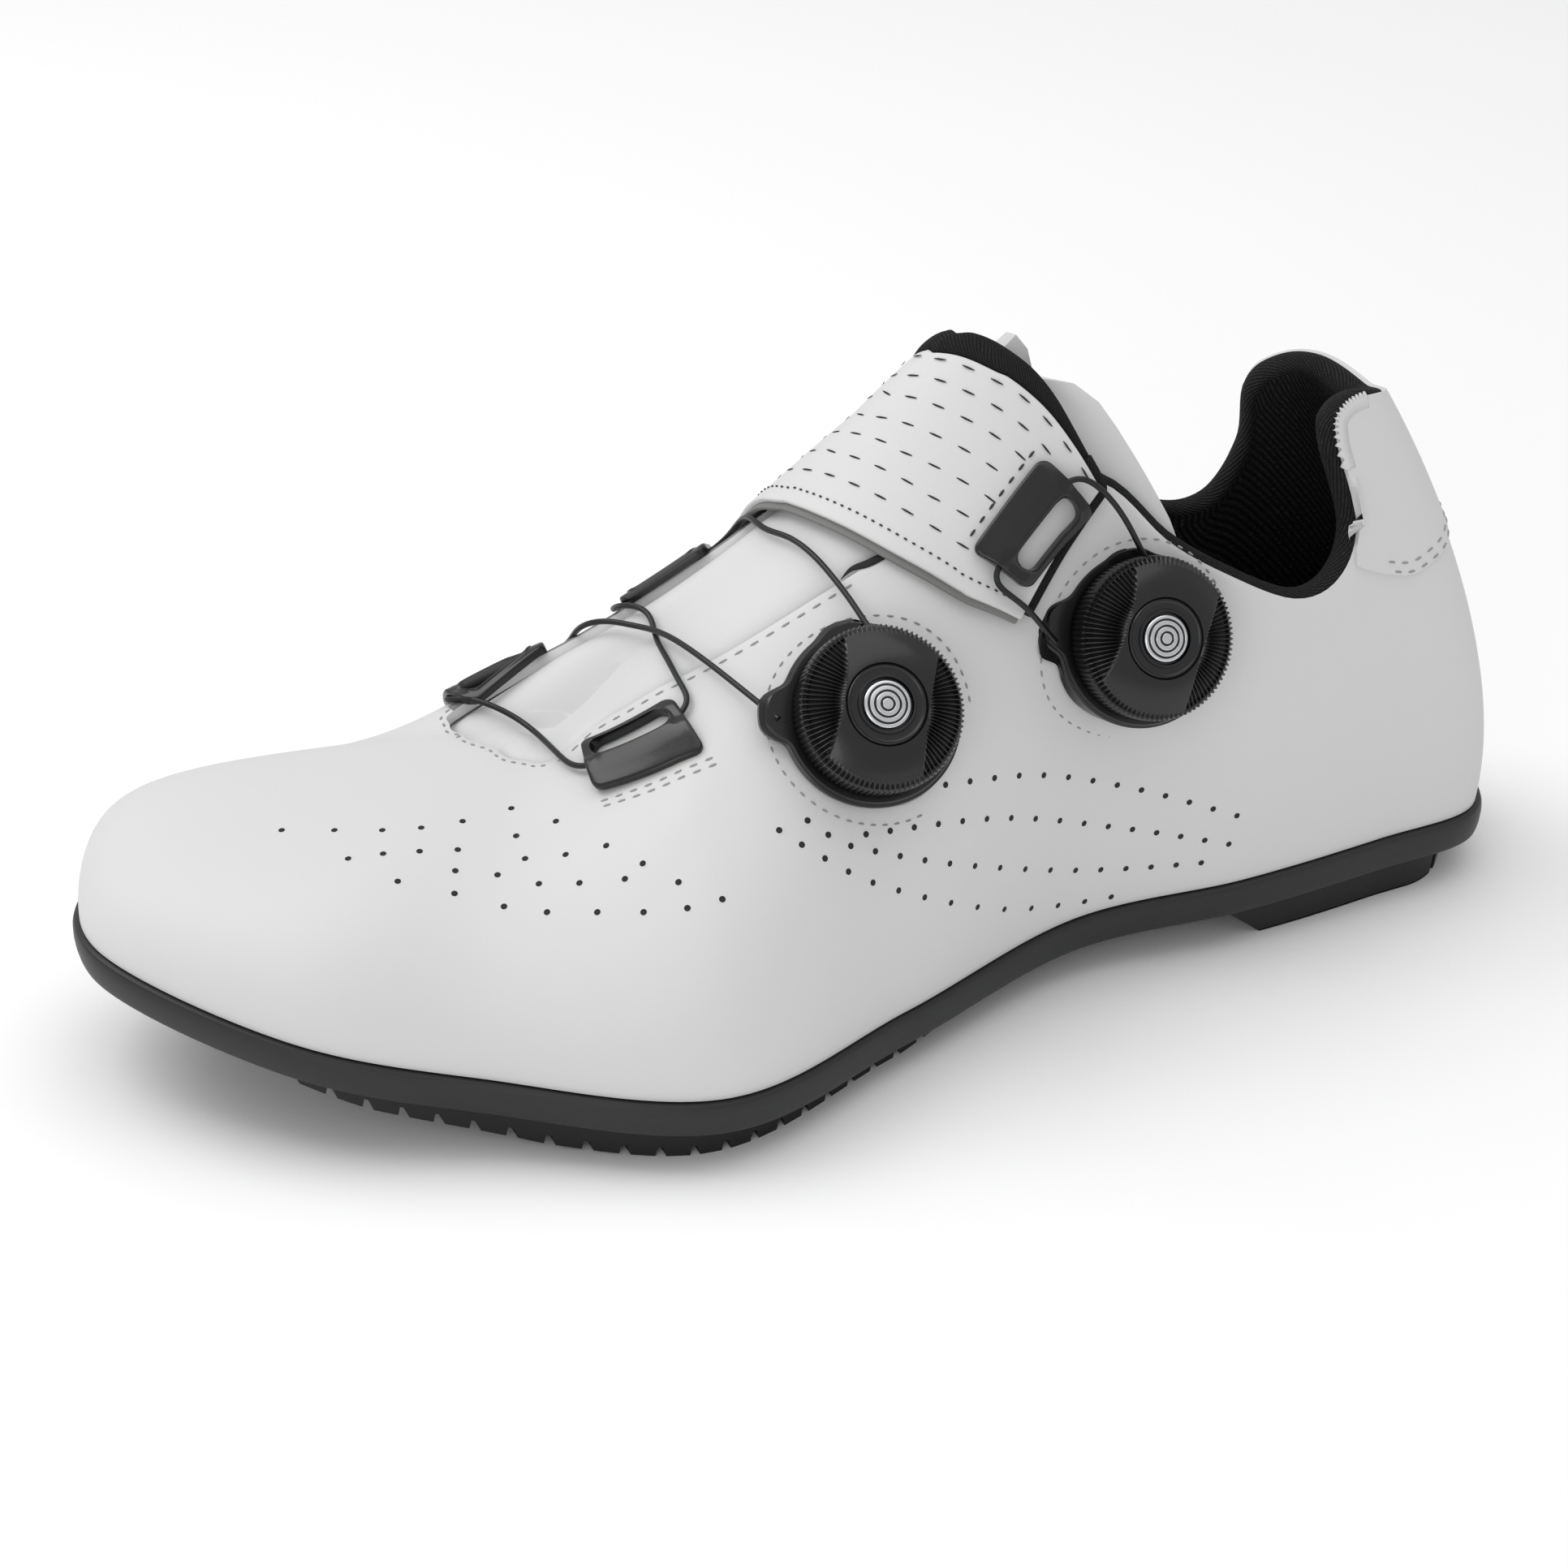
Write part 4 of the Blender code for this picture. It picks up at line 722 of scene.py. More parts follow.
# The pad's grey is partly its own colour and partly painted shade under the strap's front edge.
strapPad = finishPiece("strapPad", gridOf(padTop, around=insideShoe), cutEdgeAndShade)
addWall(strapPad, strap["pad"], 0.0005, 4)
turn = fullTurn(24)
strapDepth = 0.1 * last["length"]
rimTaper = 0.34 + 0.66 * softStep(runs, 0.0, 0.46)[:, None]
rimShare = 1 + rimTaper * strap["rimWidth"] / strapDepth * (0.51 - 0.49 * np.cos(turn))
rimPoints = strapPlace(runs[:, None], rimShare,
                       (0.4 + 0.6 * rimTaper) * strap["rimHeight"] * (0.5 + 0.5 * np.sin(turn)))
finishPiece("strapRim", gridOf(rimPoints, closedAlong=True), bindingMesh, ["strap_rim"])


def makeTube(name, points, radius, material, replaced=(), sides=16):
    # Round tube through points; radius may be one value or one for each point.
    points = np.asarray(points, float)
    ahead = np.gradient(points, axis=0)
    ahead /= np.linalg.norm(ahead, axis=1, keepdims=True)
    side = np.cross(ahead[0], [0.3, 0.5, 0.8])
    rings = []
    thick = np.broadcast_to(radius, len(points))
    angles = fullTurn(sides)
    for point, forward, size in zip(points, ahead, thick):
        side = side - forward * (side @ forward)
        side /= np.linalg.norm(side)
        other = np.cross(forward, side)
        rings.append(point + size * (np.cos(angles)[:, None] * side + np.sin(angles)[:, None] * other))
    ends = [np.repeat(points[:1], sides, axis=0), np.repeat(points[-1:], sides, axis=0)]
    tube = gridOf(np.stack([ends[0], *rings, ends[1]]), closedAlong=True)
    return finishPiece(name, tube, material, replaced, 60)


# Piping: from the rear edge round the corner, then across the strap's outer end
piping = {"radius": 0.0010, "alongRear": 12, "acrossEnd": 48, "height": 0.0011, "beyond": 0.0009, "passes": 6}
pipeRun = np.concatenate([np.linspace(0.06, 0.0, piping["alongRear"]), np.zeros(piping["acrossEnd"])])
pipeShare = np.concatenate([np.full(piping["alongRear"], 1.03), np.linspace(1.01, 0.05, piping["acrossEnd"])])
endward = strapPlace(0.0, pipeShare, piping["height"]) - strapPlace(0.02, pipeShare, piping["height"])
endward /= np.linalg.norm(endward, axis=1, keepdims=True)
pipe = strapPlace(pipeRun, pipeShare, piping["height"])
pipe = pipe + endward * (piping["beyond"] * softStep(-pipeRun, -0.02, 0.0))[:, None]
makeTube("strapPiping", eased(pipe, piping["passes"]), piping["radius"], bindingMesh)
print("strap made")

# Sole band and underside
sole = {"columns": 360, "height": 0.0073, "reach": 0.0014, "clear": 0.0003}
soleSection = np.array(((-2.6, 0.0), (0.1, 0.0), (0.55, 0.015), (0.8, 0.05), (0.86, 0.10), (0.98, 0.16),
                        (1.0, 0.38), (0.86, 0.62), (0.62, 0.82), (0.42, 0.92), (0.1, 0.975), (-0.35, 1.0)))


def besideFeather(row, reach, drop):
    step = featherLine(row + 0.01) - featherLine(row - 0.01)
    out = np.stack([step[..., 1], -step[..., 0], np.zeros(step.shape[:-1])], -1)
    out /= np.linalg.norm(out, axis=-1, keepdims=True)
    return stand(featherLine(row)) - np.asarray(reach)[..., None] * out - np.asarray(drop)[..., None] * upward


def solePoints():
    rows = spreadRows(sole["columns"])
    every = np.ones((len(rows), 1))
    edge = besideFeather(rows[:, None], soleSection[:, 0] * sole["reach"] * every,
                         (sole["clear"] + soleSection[:, 1] * sole["height"]) * every)
    mirror = np.concatenate([edge[:1], edge[:0:-1]])
    caps = []
    for end in (0, -1):
        middle = 0.5 * (edge[:, end] + mirror[:, end])
        caps.append(np.stack([middle + (edge[:, end] - middle) * share for share in (0.0, 0.35, 0.7)], axis=1))
    return np.concatenate([caps[0], edge, caps[1][:, ::-1]], axis=1)


finishPiece("soleUnit", gridOf(solePoints(), closedAcross=True), bandRubber, ["sole"], 50)
print("sole made")

# Forefoot tread: lugs in rows, cut by lengthways channels
tread = {"depth": 0.0074, "inset": 0.0048, "pitch": 0.0060, "groove": 0.0015, "cut": 0.0019, "ramp": 0.0004,
         "channels": (0.0, 0.50), "channelHalf": 0.0014, "clear": 0.0003}
treadRows = np.array(((0.385, 0.25), (0.46, 0.55), (0.54, 0.95), (0.62, 1.0), (0.76, 1.0), (0.86, 0.72),
                      (0.925, 0.25)))


def underside(x):
    rows = np.linspace(0, rowCount, 1441)
    loop = besideFeather(rows, np.full(len(rows), soleSection[-1][0] * sole["reach"]),
                         np.full(len(rows), sole["clear"] + sole["height"]))
    half = len(rows) // 2
    edges = []
    for side in (loop[:half + 1], loop[half:]):
        side = side[np.argsort(side[:, 0])]
        edges.append(np.stack([np.interp(x, side[:, 0], side[:, axis]) for axis in (1, 2)], -1))
    return edges


def treadPoints():
    along = stand(np.outer(treadRows[:, 0] * last["length"], (1, 0, 0)))[:, 0]
    starts = np.arange(along[0], along[-1] - tread["pitch"], tread["pitch"])
    lug = tread["pitch"] - tread["groove"]
    corners = np.array((0.0, lug - tread["ramp"], lug, tread["pitch"] - tread["ramp"]))
    places = (starts[:, None] + corners).ravel()[:-2]
    grooved = np.tile((0, 0, 1, 1), len(starts))[:-2]
    outer, inner = underside(places)
    depth = tread["depth"] * np.interp(places, along, treadRows[:, 1])
    columns = []
    for place, cut, deep, one, other in zip(places, grooved, depth, outer, inner):
        middle, half = 0.5 * (one + other), 0.5 * (one - other)
        reach = half[0] - tread["inset"]
        wide, ramp = tread["channelHalf"], tread["ramp"]
        centre = tread["channels"][1] * reach
        sideways = np.array((reach, centre + wide + ramp, centre + wide, centre - wide, centre - wide - ramp,
                             wide + ramp, wide))
        channel = np.array((0, 0, 1, 1, 0, 0, 1))
        sideways = np.concatenate([sideways, -sideways[::-1]])
        channel = np.concatenate([channel, channel[::-1]])
        top = middle[1] + half[1] * sideways / half[0] - tread["clear"]
        low = np.maximum(top - deep, 0) + np.maximum(cut, channel) * min(tread["cut"], 0.6 * deep)
        below = np.stack([np.full(len(low), place), middle[0] + sideways, low], -1)
        above = np.stack([np.full(2, place), middle[0] + sideways[[-1, 0]], top[[-1, 0]]], -1)
        columns.append(np.concatenate([below, above]))
    caps = [np.broadcast_to(column.mean(axis=0), column.shape) for column in (columns[0], columns[-1])]
    return np.array([caps[0], *columns, caps[1]])


finishPiece("forefootTread", gridOf(treadPoints(), closedAlong=True), treadRubber,
            ["forefoot_tread"], 30)
print("tread made")

# Heel block: slanted front, thin upright grooves in its sides
heelBlock = {"back": 0.011, "front": 0.238, "inset": 0.0016, "taper": 0.0014, "slant": 0.0095, "round": 0.30,
             "backShare": 0.30, "grooves": (-0.0285, -0.0195), "grooveHalf": 0.0005, "grooveDepth": 0.0010,
             "clear": 0.0003, "steps": 220}
# Level from the sole down to the ground, and how far the side is drawn in there.
heelBlockLevels = ((0.0, 0), (0.3, 0), (0.65, 0), (0.94, 0), (1.0, 0.0003), (1.0, 0))


def heelBlockPoints():
    back, front = (stand([heelBlock[key] * last["length"], 0, 0])[0] for key in ("back", "front"))
    lines = []
    for level, drawn in heelBlockLevels:
        end = front - heelBlock["slant"] * level
        start = back + heelBlock["taper"] * (1 + 1.5 * level)
        places = end + (start - end) * np.sin(0.5 * math.pi * np.linspace(0, 1, heelBlock["steps"]))
        outer, inner = underside(places)
        middle, half = 0.5 * (outer + inner), 0.5 * (outer - inner)
        rounding = np.clip((places - start) / (heelBlock["round"] * (end - start)), 0, 1)
        shape = heelBlock["backShare"] + (1 - heelBlock["backShare"]) * np.sqrt(1 - (1 - rounding) ** 2)
        reach = (half[:, 0] - heelBlock["inset"] - heelBlock["taper"] * level) * shape - drawn
        for groove in heelBlock["grooves"]:
            reach = reach - heelBlock["grooveDepth"] * np.exp(-((places - groove) / heelBlock["grooveHalf"]) ** 4)
        loop = []
        for sign in (1, -1):
            side = middle[:, 0] + sign * reach
            top = middle[:, 1] + half[:, 1] * sign * reach / half[:, 0] - heelBlock["clear"]
            loop.append(np.stack([places, side, top * (1 - level)], -1))
        lines.append(np.concatenate([loop[0], loop[1][::-1]]))
    caps = [0.5 * (line + line[::-1]) for line in (lines[0], lines[-1])]
    return np.stack([caps[0], *lines, caps[1]], axis=1)


finishPiece("heelBlock", gridOf(heelBlockPoints(), closedAcross=True), treadRubber,
            ["heel_tread"], 35)
print("heel block made")

# Laces: each point a row, level and height in millimetres, or a run through a guide, one way or the other
lace = {"radius": 0.00058, "intoDial": 0.0055, "step": 0.0006, "passes": 60, "inGuide": 0.0012 - 0.00012,
        "ends": (-0.63, -0.3, 0.0, 0.3, 0.63)}
# How far beside the middle of a guide the wire runs, in half widths.
laceBeside = {"guide_lateral": (-0.08, -0.08, -0.05, 0.12, 0.55)}
laceRuns = {
    "lace_lower": (
        ((5.53, 0.668, 4.2), (5.60, 0.735, 3.2), (5.70, 0.832, 2.7), (5.80, 0.925, 2.6), (5.90, 0.990, 2.6),
         (12.10, 0.940, 2.4), (12.14, 0.860, 2.1), (12.14, 0.760, 1.9)),
        ("guide_medial_front", 1),
        ((11.47, 0.735, 1.8), (11.41, 0.780, 1.7), (11.31, 0.840, 1.7), (11.13, 0.914, 1.6), (10.88, 0.956, 1.6),
         (7.91, 0.969, 1.6), (6.80, 0.855, 1.6)),
        ("guide_lateral", -1),
        ((5.86, 0.806, 1.6), (5.87, 0.852, 1.3), (5.88, 0.913, 1.1), (5.89, 0.975, 1.0), (12.25, 0.940, 1.0),
         (12.30, 0.850, 1.3), (12.32, 0.775, 1.8)),
        ("guide_medial_rear", -1),
        ((12.97, 0.790, 1.9), (12.93, 0.880, 1.7), (5.13, 0.985, 1.6), (5.07, 0.936, 1.6), (5.02, 0.841, 1.8),
         (4.99, 0.760, 2.6), (4.97, 0.710, 3.5), (4.96, 0.672, 4.4)),
    ),
    "lace_upper": (
        ((4.20, 0.454, 2.9), (4.25, 0.483, 4.1), (4.31, 0.518, 4.9)),
        ("guide_strap", -1),
        ((3.76, 0.585, 4.8), (3.70, 0.555, 4.5), (3.64, 0.517, 3.9), (3.61, 0.490, 3.3)),
    ),
}

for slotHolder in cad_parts["insole"].material_slots:
    slotHolder.material = foamCover


# A flat millimetre grid laid on the last round a point, turned along a direction.
class Patch:
    def __init__(self, row, level, rowAhead, levelAhead):
        self.row, self.level = row, level
        self.here = skin(row, level)
        self.face(skinNormal(row, level), skin(rowAhead, levelAhead) - self.here)
        byRow, byLevel = slopes(row, level)
        self.inverse = np.linalg.inv(np.array([[byRow @ self.ahead, byLevel @ self.ahead],
                                               [byRow @ self.beside, byLevel @ self.beside]]))

    def face(self, normal, ahead):
        self.normal = normal
        ahead = ahead - normal * (ahead @ normal)
        self.ahead = ahead / np.linalg.norm(ahead)
        self.beside = np.cross(normal, self.ahead)

    def point(self, a, b, height):
        a, b, height = matched(a, b, height)
        shift = np.stack([a, b], -1) @ self.inverse.T
        return overSkin(self.row + shift[..., 0], self.level + shift[..., 1], height)

    def rigid(self, a, b, height):
        a, b, height = matched(a, b, height)
        flat = a[..., None] * self.ahead + b[..., None] * self.beside
        return stand(self.here + flat + height[..., None] * self.normal)

    def levelOut(self, rim):
        # Squares the patch to the skin met at a rim round it, and lifts it onto that.
        angles = fullTurn(24)
        shift = np.stack([rim * np.cos(angles), rim * np.sin(angles)], -1) @ self.inverse.T
        heights = (skin(self.row + shift[:, 0], self.level + shift[:, 1]) - self.here) @ self.normal
        slopeAhead = 2 * np.mean(heights * np.cos(angles)) / rim
        slopeBeside = 2 * np.mean(heights * np.sin(angles)) / rim
        normal = self.normal - slopeAhead * self.ahead - slopeBeside * self.beside
        self.face(normal / np.linalg.norm(normal), self.ahead)
        self.here = self.here + self.normal * max(0, heights.mean())
        return self

    def tiltUp(self, degrees):
        rising = upward - self.normal * self.normal[2]
        rising /= np.linalg.norm(rising)
        tilt = math.radians(degrees)
        self.face(math.cos(tilt) * self.normal + math.sin(tilt) * rising, self.ahead)
        return self


# Wire guides: moulded plates with a sewn flange, and a long slot with a raised lip round it
guide = {"flange": 0.0013, "roof": 0.0027, "edge": 0.0021, "slotWidth": 0.0043, "slotReach": 0.76,
         "slotPlace": 0.44, "corner": 0.0019, "lip": 0.0003, "clear": 0.0003, "points": 120, "overStrap": 0.0004}
# Row and level of the front end and of the rear end, length, width, side of the slot, lean.
guideTable = {
    "guide_lateral": (6.56, 0.785, 5.88, 0.752, 0.0225, 0.0145, -1, 0.30),
    "guide_medial_front": (11.62, 0.640, 12.16, 0.575, 0.0215, 0.0135, 1, 0.0),
    "guide_medial_rear": (12.47, 0.650, 12.93, 0.680, 0.0208, 0.0135, 1, 0.0),
    "guide_strap": (4.34, 0.572, 3.91, 0.607, 0.0218, 0.0130, 1, 0.0),
}
# From the slot's rim to the outer edge: share of the way, share of the height, share of the lip.
guideRings = ((0.0, 0.0, 0), (0.0, 0.55, 0), (0.01, 0.82, 0), (0.04, 0.95, 0.6), (0.08, 1.0, 1.0), (0.13, 1.0, 1.0),
              (0.18, 1.0, 0.5), (0.23, 1.0, 0.0), (0.4, 1.0, 0), (0.6, 1.0, 0), (0.78, 1.0, 0), (0.90, 0.98, 0),
              (0.96, 0.92, 0), (0.99, 0.80, 0), (1.0, 0.62, 0), (1.0, 0.3, 0), (0.99, 0.0, 0))
# Across the guide, in half widths: which height holds there, and what is added to it.
guideProfile = ((-1, "flange", 0), (-0.75, "flange", 0.0003), (-0.4, "roof", -0.0004), (-0.12, "roof", 0),
                (0.02, "roof", -0.0002), (0.16, "edge", 0), (0.7, "edge", 0), (1, "flange", 0.0003))
strapStack = strap["base"] + strap["pad"] + strap["face"] + guide["overStrap"]


def roundedLoop(length, width, radius, count):
    # Rounded rectangle, in even steps from the middle of its front end.
    corners = [np.array([[0.5 * length, 0.0]])]
    for index, (sx, sy) in enumerate(((1, 1), (-1, 1), (-1, -1), (1, -1))):
        angles = 0.5 * math.pi * (index + np.linspace(0, 1, 9))
        corners.append(np.stack([sx * (0.5 * length - radius) + radius * np.cos(angles),
                                 sy * (0.5 * width - radius) + radius * np.sin(angles)], -1))
    loop = np.concatenate(corners + corners[:1])
    return evenSteps(loop, count + 1)[:-1].T


def guidePatch(name):
    rowFront, levelFront, rowRear, levelRear = guideTable[name][:4]
    patch = Patch(0.5 * (rowFront + rowRear), 0.5 * (levelFront + levelRear), rowFront, levelFront)
    return patch, guide["clear"] + (strapStack if name == "guide_strap" else 0)


def makeGuidePiece(name):
    length, width, side, lean = guideTable[name][4:]
    patch, low = guidePatch(name)
    slotA, slotB = roundedLoop(guide["slotReach"] * length, guide["slotWidth"], 0.499 * guide["slotWidth"],
                               guide["points"])
    edgeA, edgeB = roundedLoop(length, width, guide["corner"], guide["points"])
    slotB = slotB + guide["slotPlace"] * 0.5 * width
    rings = []
    places = [place for place, key, extra in guideProfile]
    tops = [guide[key] + extra for place, key, extra in guideProfile]
    for share, height, lift in guideRings:
        a = slotA + (edgeA - slotA) * share
        b = slotB + (edgeB - slotB) * share
        over = np.interp(b / (0.5 * width), places, tops)
        rings.append(patch.point(a + lean * b, side * b, low + height * over + lift * guide["lip"]))
    work = gridOf(np.stack(rings, axis=1), closedAcross=True, closedAlong=True)
    return finishPiece(name.replace("guide_", "wireGuide_"), work, nylon, [name], 60)


for guideName in guideTable:
    makeGuidePiece(guideName)
print("guides made")


def makeLace(name):
    route = []
    for group in laceRuns[name]:
        if isinstance(group[0], str):
            patch, low = guidePatch(group[0])
            length, width, side, lean = guideTable[group[0]][4:]
            beside = 0.5 * width * np.array(laceBeside.get(group[0], (-0.08,) * 5))
            along = group[1] * length * np.array(lace["ends"])
            route.append(patch.point(along + lean * beside, side * beside, low + lace["inGuide"]))
        else:
            table = np.array(group)
            route.append(overSkin(table[:, 0], table[:, 1], table[:, 2] * 0.001))
    route = np.concatenate(route)
    fine = curveThrough(route, np.linspace(0, len(route) - endGap, 30 * len(route)))
    wire = eased(evenSteps(fine, int(runAlong(fine)[-1] / lace["step"])), lace["passes"])
    first, final = (out * lace["intoDial"] / np.linalg.norm(out)
                    for out in (wire[0] - wire[4], wire[-1] - wire[-5]))
    wire = np.concatenate([[wire[0] + first], wire, [wire[-1] + final]])
    return makeTube(name.replace("lace_", "wireLace_"), wire, lace["radius"], wireCoat, [name],
                    sides=14)


for laceName in laceRuns:
    makeLace(laceName)
print("laces made")

# Lace dials: stepped base with two ports, knurled knob with fluted sides, turned cap
dial = {
    "radius": 0.0157,
    "flange": 0.0016,
    "baseTop": 0.0034,
    "rim": 0.0062,
    "dome": 0.0032,
    "capRadius": 0.0045,
    "capRings": (0.27, 0.54, 0.80),
    "teeth": 96,
    "toothDepth": 0.00045,
    "wing": 0.52,
    "ears": (0.0042, 0.0012),
    "earSpread": math.radians(15),
    "portTurn": 72,
    "gap": 0.0003,
}
# Row and level of the middle, turn of the first port in degrees, tilt upwards in degrees.
dialTable = {"dial_front": (5.06, 0.525, -40.0, 0.0), "dial_rear": (3.66, 0.362, -30.0, 14.0)}


def makeKnob(name, patch, turnBy):
    angles = fullTurn(dial["teeth"] * 8)
    bottom = dial["baseTop"] + dial["gap"]
    rim, crown = bottom + dial["rim"], bottom + dial["rim"] + dial["dome"]
    radius = dial["radius"]
    profile = [(0.0, bottom), (0.5 * radius, bottom), (0.93 * radius, bottom), (0.985 * radius, bottom + 0.0006)]
    profile += [(radius, bottom + dial["rim"] * share) for share in (0.2, 0.45, 0.7, 0.88)]
    profile += [(0.995 * radius, rim), (0.975 * radius, rim + 0.0004), (0.945 * radius, rim + 0.0008),
                (0.915 * radius, rim + 0.0011), (0.89 * radius, rim + 0.00125)]
    shoulder = 0.0013
    for share in np.linspace(0.86, 0.50, 20):
        rise = (dial["dome"] - shoulder) * (1 - ((share - 0.44) / 0.44) ** 2)
        profile.append((share * radius, rim + shoulder + rise))
    for share, drop in ((0.485, -0.00035), (0.475, -0.0001), (0.465, 0.00005), (0.45, 0.00005), (0.44, -0.0001),
                        (0.425, -0.00015), (0.36, -0.0001), (0.35, 0.0002), (0.335, 0.00025), (0.32, 0.0002),
                        (0.31, -0.0006), (0.0, -0.0006)):
        profile.append((share * radius, crown + drop))
    profile = np.array(profile)
    r, h = profile.T[:, None] * np.ones((len(angles), 1))
    tooth = 0.5 - 0.5 * np.cos(angles * dial["teeth"])[:, None]
    onRim = softStep(r, 0.90 * radius, 0.96 * radius) * (h > bottom + 0.0004)
    turned = angles[:, None] - math.radians(turnBy)
    x = np.abs(r * np.cos(turned)) / radius
    y = np.abs(r * np.sin(turned)) / radius
    bound = dial["wing"] + 0.12 * y ** 2
    wing = softStep(x, bound - 0.012, bound + 0.012) * (h > rim)
    wing = wing * (r < 0.93 * radius)
    flute = wing * softStep(r, 0.50 * radius, 0.62 * radius)
    r = r - dial["toothDepth"] * tooth * onRim
    h = h - 0.00035 * wing - 0.0006 * tooth * flute - 0.0004 * tooth * onRim * (h > rim - 0.0001)
    a, b = r * np.cos(angles[:, None]), r * np.sin(angles[:, None])
    return finishPiece(name, gridOf(patch.rigid(a, b, h), closedAcross=True), nylon, [], 35)


def makeBase(name, patch, turnBy):
    angles = fullTurn(144)
    ports = (math.radians(turnBy), math.radians(turnBy - dial["portTurn"]))
    ear = np.zeros(len(angles))
    for port, reach in zip(ports, dial["ears"]):
        gap = (angles - port + math.pi) % (2 * math.pi) - math.pi
        ear = np.maximum(ear, reach * np.exp(-(gap / dial["earSpread"]) ** 4))
    flange = dial["flange"]
    foot = dial["radius"] + flange
    rings = []
    for share in (0, 0.4, 0.75, 0.97):
        reach = share * (foot + ear)
        rings.append(patch.point(reach * np.cos(angles), reach * np.sin(angles), 0.0006))
    for reach, height in ((foot + ear, 0.35), (foot + 0.98 * ear, 0.62), (foot - 0.3 * flange + 0.9 * ear, 0.68),
                          (foot - 0.35 * flange + 0.85 * ear, 0.9), (foot - 0.5 * flange + 0.8 * ear, 1.0),
                          (0.8 * foot, 1.0), (0, 1.0)):
        rings.append(patch.rigid(reach * np.cos(angles), reach * np.sin(angles), dial["baseTop"] * height))
    return finishPiece(name, gridOf(np.stack(rings, axis=1), closedAcross=True), nylon, [], 35)


def makeCap(name, patch):
    angles = fullTurn(96)
    crown = dial["baseTop"] + dial["gap"] + dial["rim"] + dial["dome"]
    radius = dial["capRadius"]
    profile = [(0.0, crown - 0.0004), (radius, crown - 0.0004), (radius, crown + 0.0001),
               (0.95 * radius, crown + 0.0003)]
    for share in np.linspace(0.92, 0.02, 64):
        groove = sum(math.exp(-((share - ring) / 0.045) ** 4) for ring in dial["capRings"])
        profile.append((share * radius, crown + 0.0003 + 0.0003 * (1 - share ** 2) - 0.00018 * groove))
    profile.append((0.0, crown + 0.0006))
    profile = np.array(profile)
    a = profile[None, :, 0] * np.cos(angles[:, None])
    b = profile[None, :, 0] * np.sin(angles[:, None])
    work = gridOf(patch.rigid(a, b, profile[None, :, 1] * np.ones(a.shape)), closedAcross=True)
    centre, axis = Vector(patch.rigid(0, 0, crown)), Vector(standDirection(patch.normal))
    # Faces on the groove rings take the black nylon: painted shade in the turned grooves.
    for face in work.faces:
        off = face.calc_center_median() - centre
        share = (off - axis * off.dot(axis)).length / radius
        face.material_index = int(min(abs(share - ring) for ring in dial["capRings"]) < 0.05)
    piece = finishPiece(name, work, capAlloy, [], 60)
    piece.data.materials.append(nylon)
    return piece


for dialName, (row, level, turnBy, tilt) in dialTable.items():
    patch = Patch(row, level, row + 0.3, level).levelOut(0.85 * (dial["radius"] + dial["flange"])).tiltUp(tilt)
    label = dialName.replace("dial_", "dial").replace("front", "Front").replace("rear", "Rear")
    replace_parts(makeBase(label + "Base", patch, turnBy), dialName + "_base")
    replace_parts(makeKnob(label + "Knob", patch, turnBy - 10), dialName + "_knob")
    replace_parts(makeCap(label + "Cap", patch), dialName + "_cap")
print("dials made")


# Small repeated pieces: stitches, slits and punched holes
def addDashes(work, points, normals, length=0.0016, gap=0.0011, width=0.0005, height=0.00022, start=0.0,
              avoid=None):
    run = runAlong(points)
    for middle in np.arange(start + 0.5 * length, run[-1] - 0.5 * length, length + gap):
        at = valuesAt(middle, run, points)
        if avoid and avoid(at):
            continue
        up = Vector(valuesAt(middle, run, normals)).normalized()
        ahead = Vector(valuesAt(middle + 0.0004, run, points) - at).normalized()
        side = up.cross(ahead).normalized()
        turnTo = Matrix([ahead, side, up]).transposed().to_4x4()
        size = Matrix.Diagonal((0.5 * length, 0.5 * width, height, 1))
        place = Matrix.Translation(Vector(at)) @ turnTo @ size
        bmesh.ops.create_icosphere(work, subdivisions=1, radius=1.0, matrix=place)


def stitches(name, points, normals, material=greyThread, **sizes):
    work = bmesh.new()
    addDashes(work, points, normals, **sizes)
    finishPiece(name, work, material, [], 80)


def upFrom(place, height):
    # The points of place at a height, and the way up from each.
    path = place(height)
    return path, (place(height + 0.001) - path) / 0.001


def onShell(points, normals, height):
    # The points moved onto the shell's own surface, then lifted.
    settled = [shellTree.find_nearest(Vector(point))[0] for point in points]
    return np.array(settled) + normals * height, normals


def alongSkin(path, height, count=200):
    rows, levels = smoothCurve(path, count).T
    return overSkin(rows, levels, height), standDirection(skinNormal(rows, levels))


def alongEdge(firstRow, finalRow, distance, height, count=300):
    rows = np.linspace(firstRow, finalRow, count)
    placeRows, levels = pastEdge(rows, np.full((count, 1), distance))
    placeRows, levels = placeRows[:, 0], levels[:, 0]
    return onShell(overSkin(placeRows, levels, 0 * levels), standDirection(skinNormal(placeRows, levels)), height)


def ribbon(name, points, normals, width, height, material, taper=0.0):
    # Low strip with rounded sides laid along a path on the skin.
    ahead = np.gradient(points, axis=0)
    side = np.cross(normals, ahead)
    side /= np.linalg.norm(side, axis=1, keepdims=True)
    share = np.linspace(0, 1, len(points))
    size = 1 - taper * (1 - np.sin(math.pi * share))
    spread = np.array((-1.0, -0.8, -0.4, 0.0, 0.4, 0.8, 1.0))
    grid = points[:, None] + side[:, None] * (0.5 * width * size[:, None] * spread)[..., None]
    grid = grid + normals[:, None] * (height * size[:, None] * (1 - spread ** 4))[..., None]
    finishPiece(name, gridOf(grid, around=insideShoe), material, [], 80)


